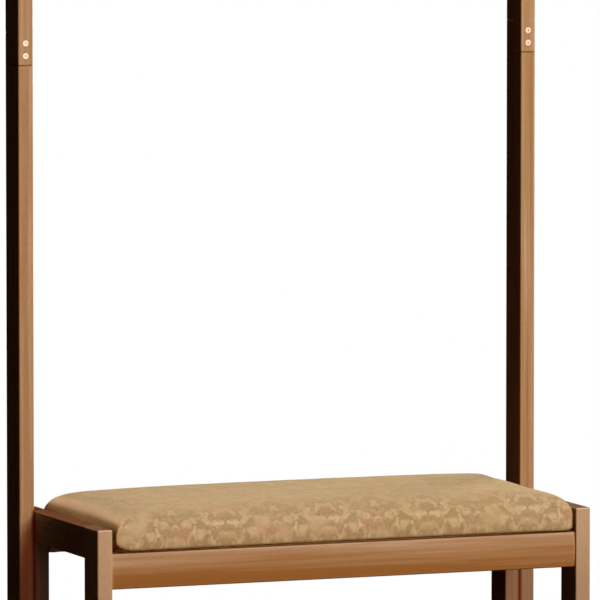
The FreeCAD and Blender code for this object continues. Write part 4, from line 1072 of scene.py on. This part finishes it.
def makeStaples(s):
    # staples round the lining: a wire crown with its ends turned in, laid along the edge, none
    # quite straight
    low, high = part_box("seat_lining")
    values = dict(Width=2 * (high.x - s["inset"]), Depth=2 * (high.y - s["inset"]),
                  Level=low.z + s["clear"], Spacing=s["spacing"], Crown=s["crown"],
                  Bow=s["bow"], Wide=s["wide"], Thick=s["thick"], Round=s["wireRound"],
                  Seed=s["seed"], Wire=bpy.data.materials["zincPlatedSteel"])
    kinds = dict(Seed="NodeSocketInt", Wire="NodeSocketMaterial")
    tree = bpy.data.node_groups.new("stapleRow", "GeometryNodeTree")
    sockets = {name: tree.interface.new_socket(
        name, in_out="INPUT", socket_type=kinds.get(name, "NodeSocketFloat")).identifier
        for name in values}
    tree.interface.new_socket("Geometry", in_out="OUTPUT", socket_type="NodeSocketGeometry")
    given = addNode(tree, "NodeGroupInput").outputs
    edgeLine = addNode(tree, "GeometryNodeCurvePrimitiveQuadrilateral", {
        "Width": given["Width"], "Height": given["Depth"]}).outputs[0]
    posts = addNode(tree, "GeometryNodeResampleCurve", {
        "Curve": edgeLine, "Length": given["Spacing"]}, mode="LENGTH").outputs[0]
    tangent = addNode(tree, "GeometryNodeInputTangent").outputs[0]
    turn = addNode(tree, "FunctionNodeAlignRotationToVector", {"Vector": tangent},
                   axis="X").outputs[0]
    skew = math.radians(s["skew"])
    stray = addNode(tree, "FunctionNodeRandomValue", {
        "Min": (0, 0, -skew), "Max": (0, 0, skew), "Seed": given["Seed"]},
        data_type="FLOAT_VECTOR").outputs[0]
    turn = addNode(tree, "FunctionNodeRotateRotation", {0: turn, 1: stray},
                   rotation_space="LOCAL").outputs[0]
    # the crown: a short wire, its ends dipping into the cloth
    half = addNode(tree, "ShaderNodeMath", {0: given["Crown"], 1: 0.5},
                   operation="MULTIPLY").outputs[0]
    start = addNode(tree, "ShaderNodeMath", {0: half, 1: -1.0}, operation="MULTIPLY").outputs[0]
    start = addNode(tree, "ShaderNodeCombineXYZ", {"X": start}).outputs[0]
    end = addNode(tree, "ShaderNodeCombineXYZ", {"X": half}).outputs[0]
    wire = addNode(tree, "GeometryNodeCurvePrimitiveLine", {"Start": start, "End": end}).outputs[0]
    wire = addNode(tree, "GeometryNodeResampleCurve", {
        "Curve": wire, "Count": s["crownPoints"]}).outputs[0]
    place = addNode(tree, "GeometryNodeInputPosition").outputs[0]
    across = addNode(tree, "ShaderNodeSeparateXYZ", {0: place}).outputs["X"]
    share = addNode(tree, "ShaderNodeMath", {0: across, 1: half}, operation="DIVIDE").outputs[0]
    share = addNode(tree, "ShaderNodeMath", {0: share, 1: s["dipPower"]},
                    operation="POWER").outputs[0]
    dip = addNode(tree, "ShaderNodeMath", {0: share, 1: given["Bow"]},
                  operation="MULTIPLY").outputs[0]
    dip = addNode(tree, "ShaderNodeCombineXYZ", {"Z": dip}).outputs[0]
    wire = addNode(tree, "GeometryNodeSetPosition", {"Geometry": wire, "Offset": dip}).outputs[0]
    flatWire = addNode(tree, "GeometryNodeCurvePrimitiveQuadrilateral", {
        "Width": given["Wide"], "Height": given["Thick"]}).outputs[0]
    flatWire = addNode(tree, "GeometryNodeFilletCurve", {
        "Curve": flatWire, "Radius": given["Round"], "Count": 2}, mode="POLY").outputs[0]
    wire = addNode(tree, "GeometryNodeCurveToMesh", {
        "Curve": wire, "Profile Curve": flatWire, "Fill Caps": True}).outputs[0]
    row = addNode(tree, "GeometryNodeInstanceOnPoints", {
        "Points": posts, "Instance": wire, "Rotation": turn}).outputs[0]
    level = addNode(tree, "ShaderNodeCombineXYZ", {"Z": given["Level"]}).outputs[0]
    row = addNode(tree, "GeometryNodeSetPosition", {"Geometry": row, "Offset": level}).outputs[0]
    row = addNode(tree, "GeometryNodeRealizeInstances", {0: row}).outputs[0]
    row = addNode(tree, "GeometryNodeSetMaterial", {
        "Geometry": row, "Material": given["Wire"]}).outputs[0]
    addNode(tree, "NodeGroupOutput", {0: row})
    piece = meshPiece("liningStaples", bmesh.new())
    rows = piece.modifiers.new("stapleRow", "NODES")
    rows.node_group = tree
    for name, value in values.items():
        rows[sockets[name]] = value
    return bakeModifiers(piece)


liningStaples = makeStaples(staples)
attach(liningStaples, "seat")
print("stage: lining and staples,", len(liningStaples.data.polygons), "staple faces")

bpy.context.view_layer.update()
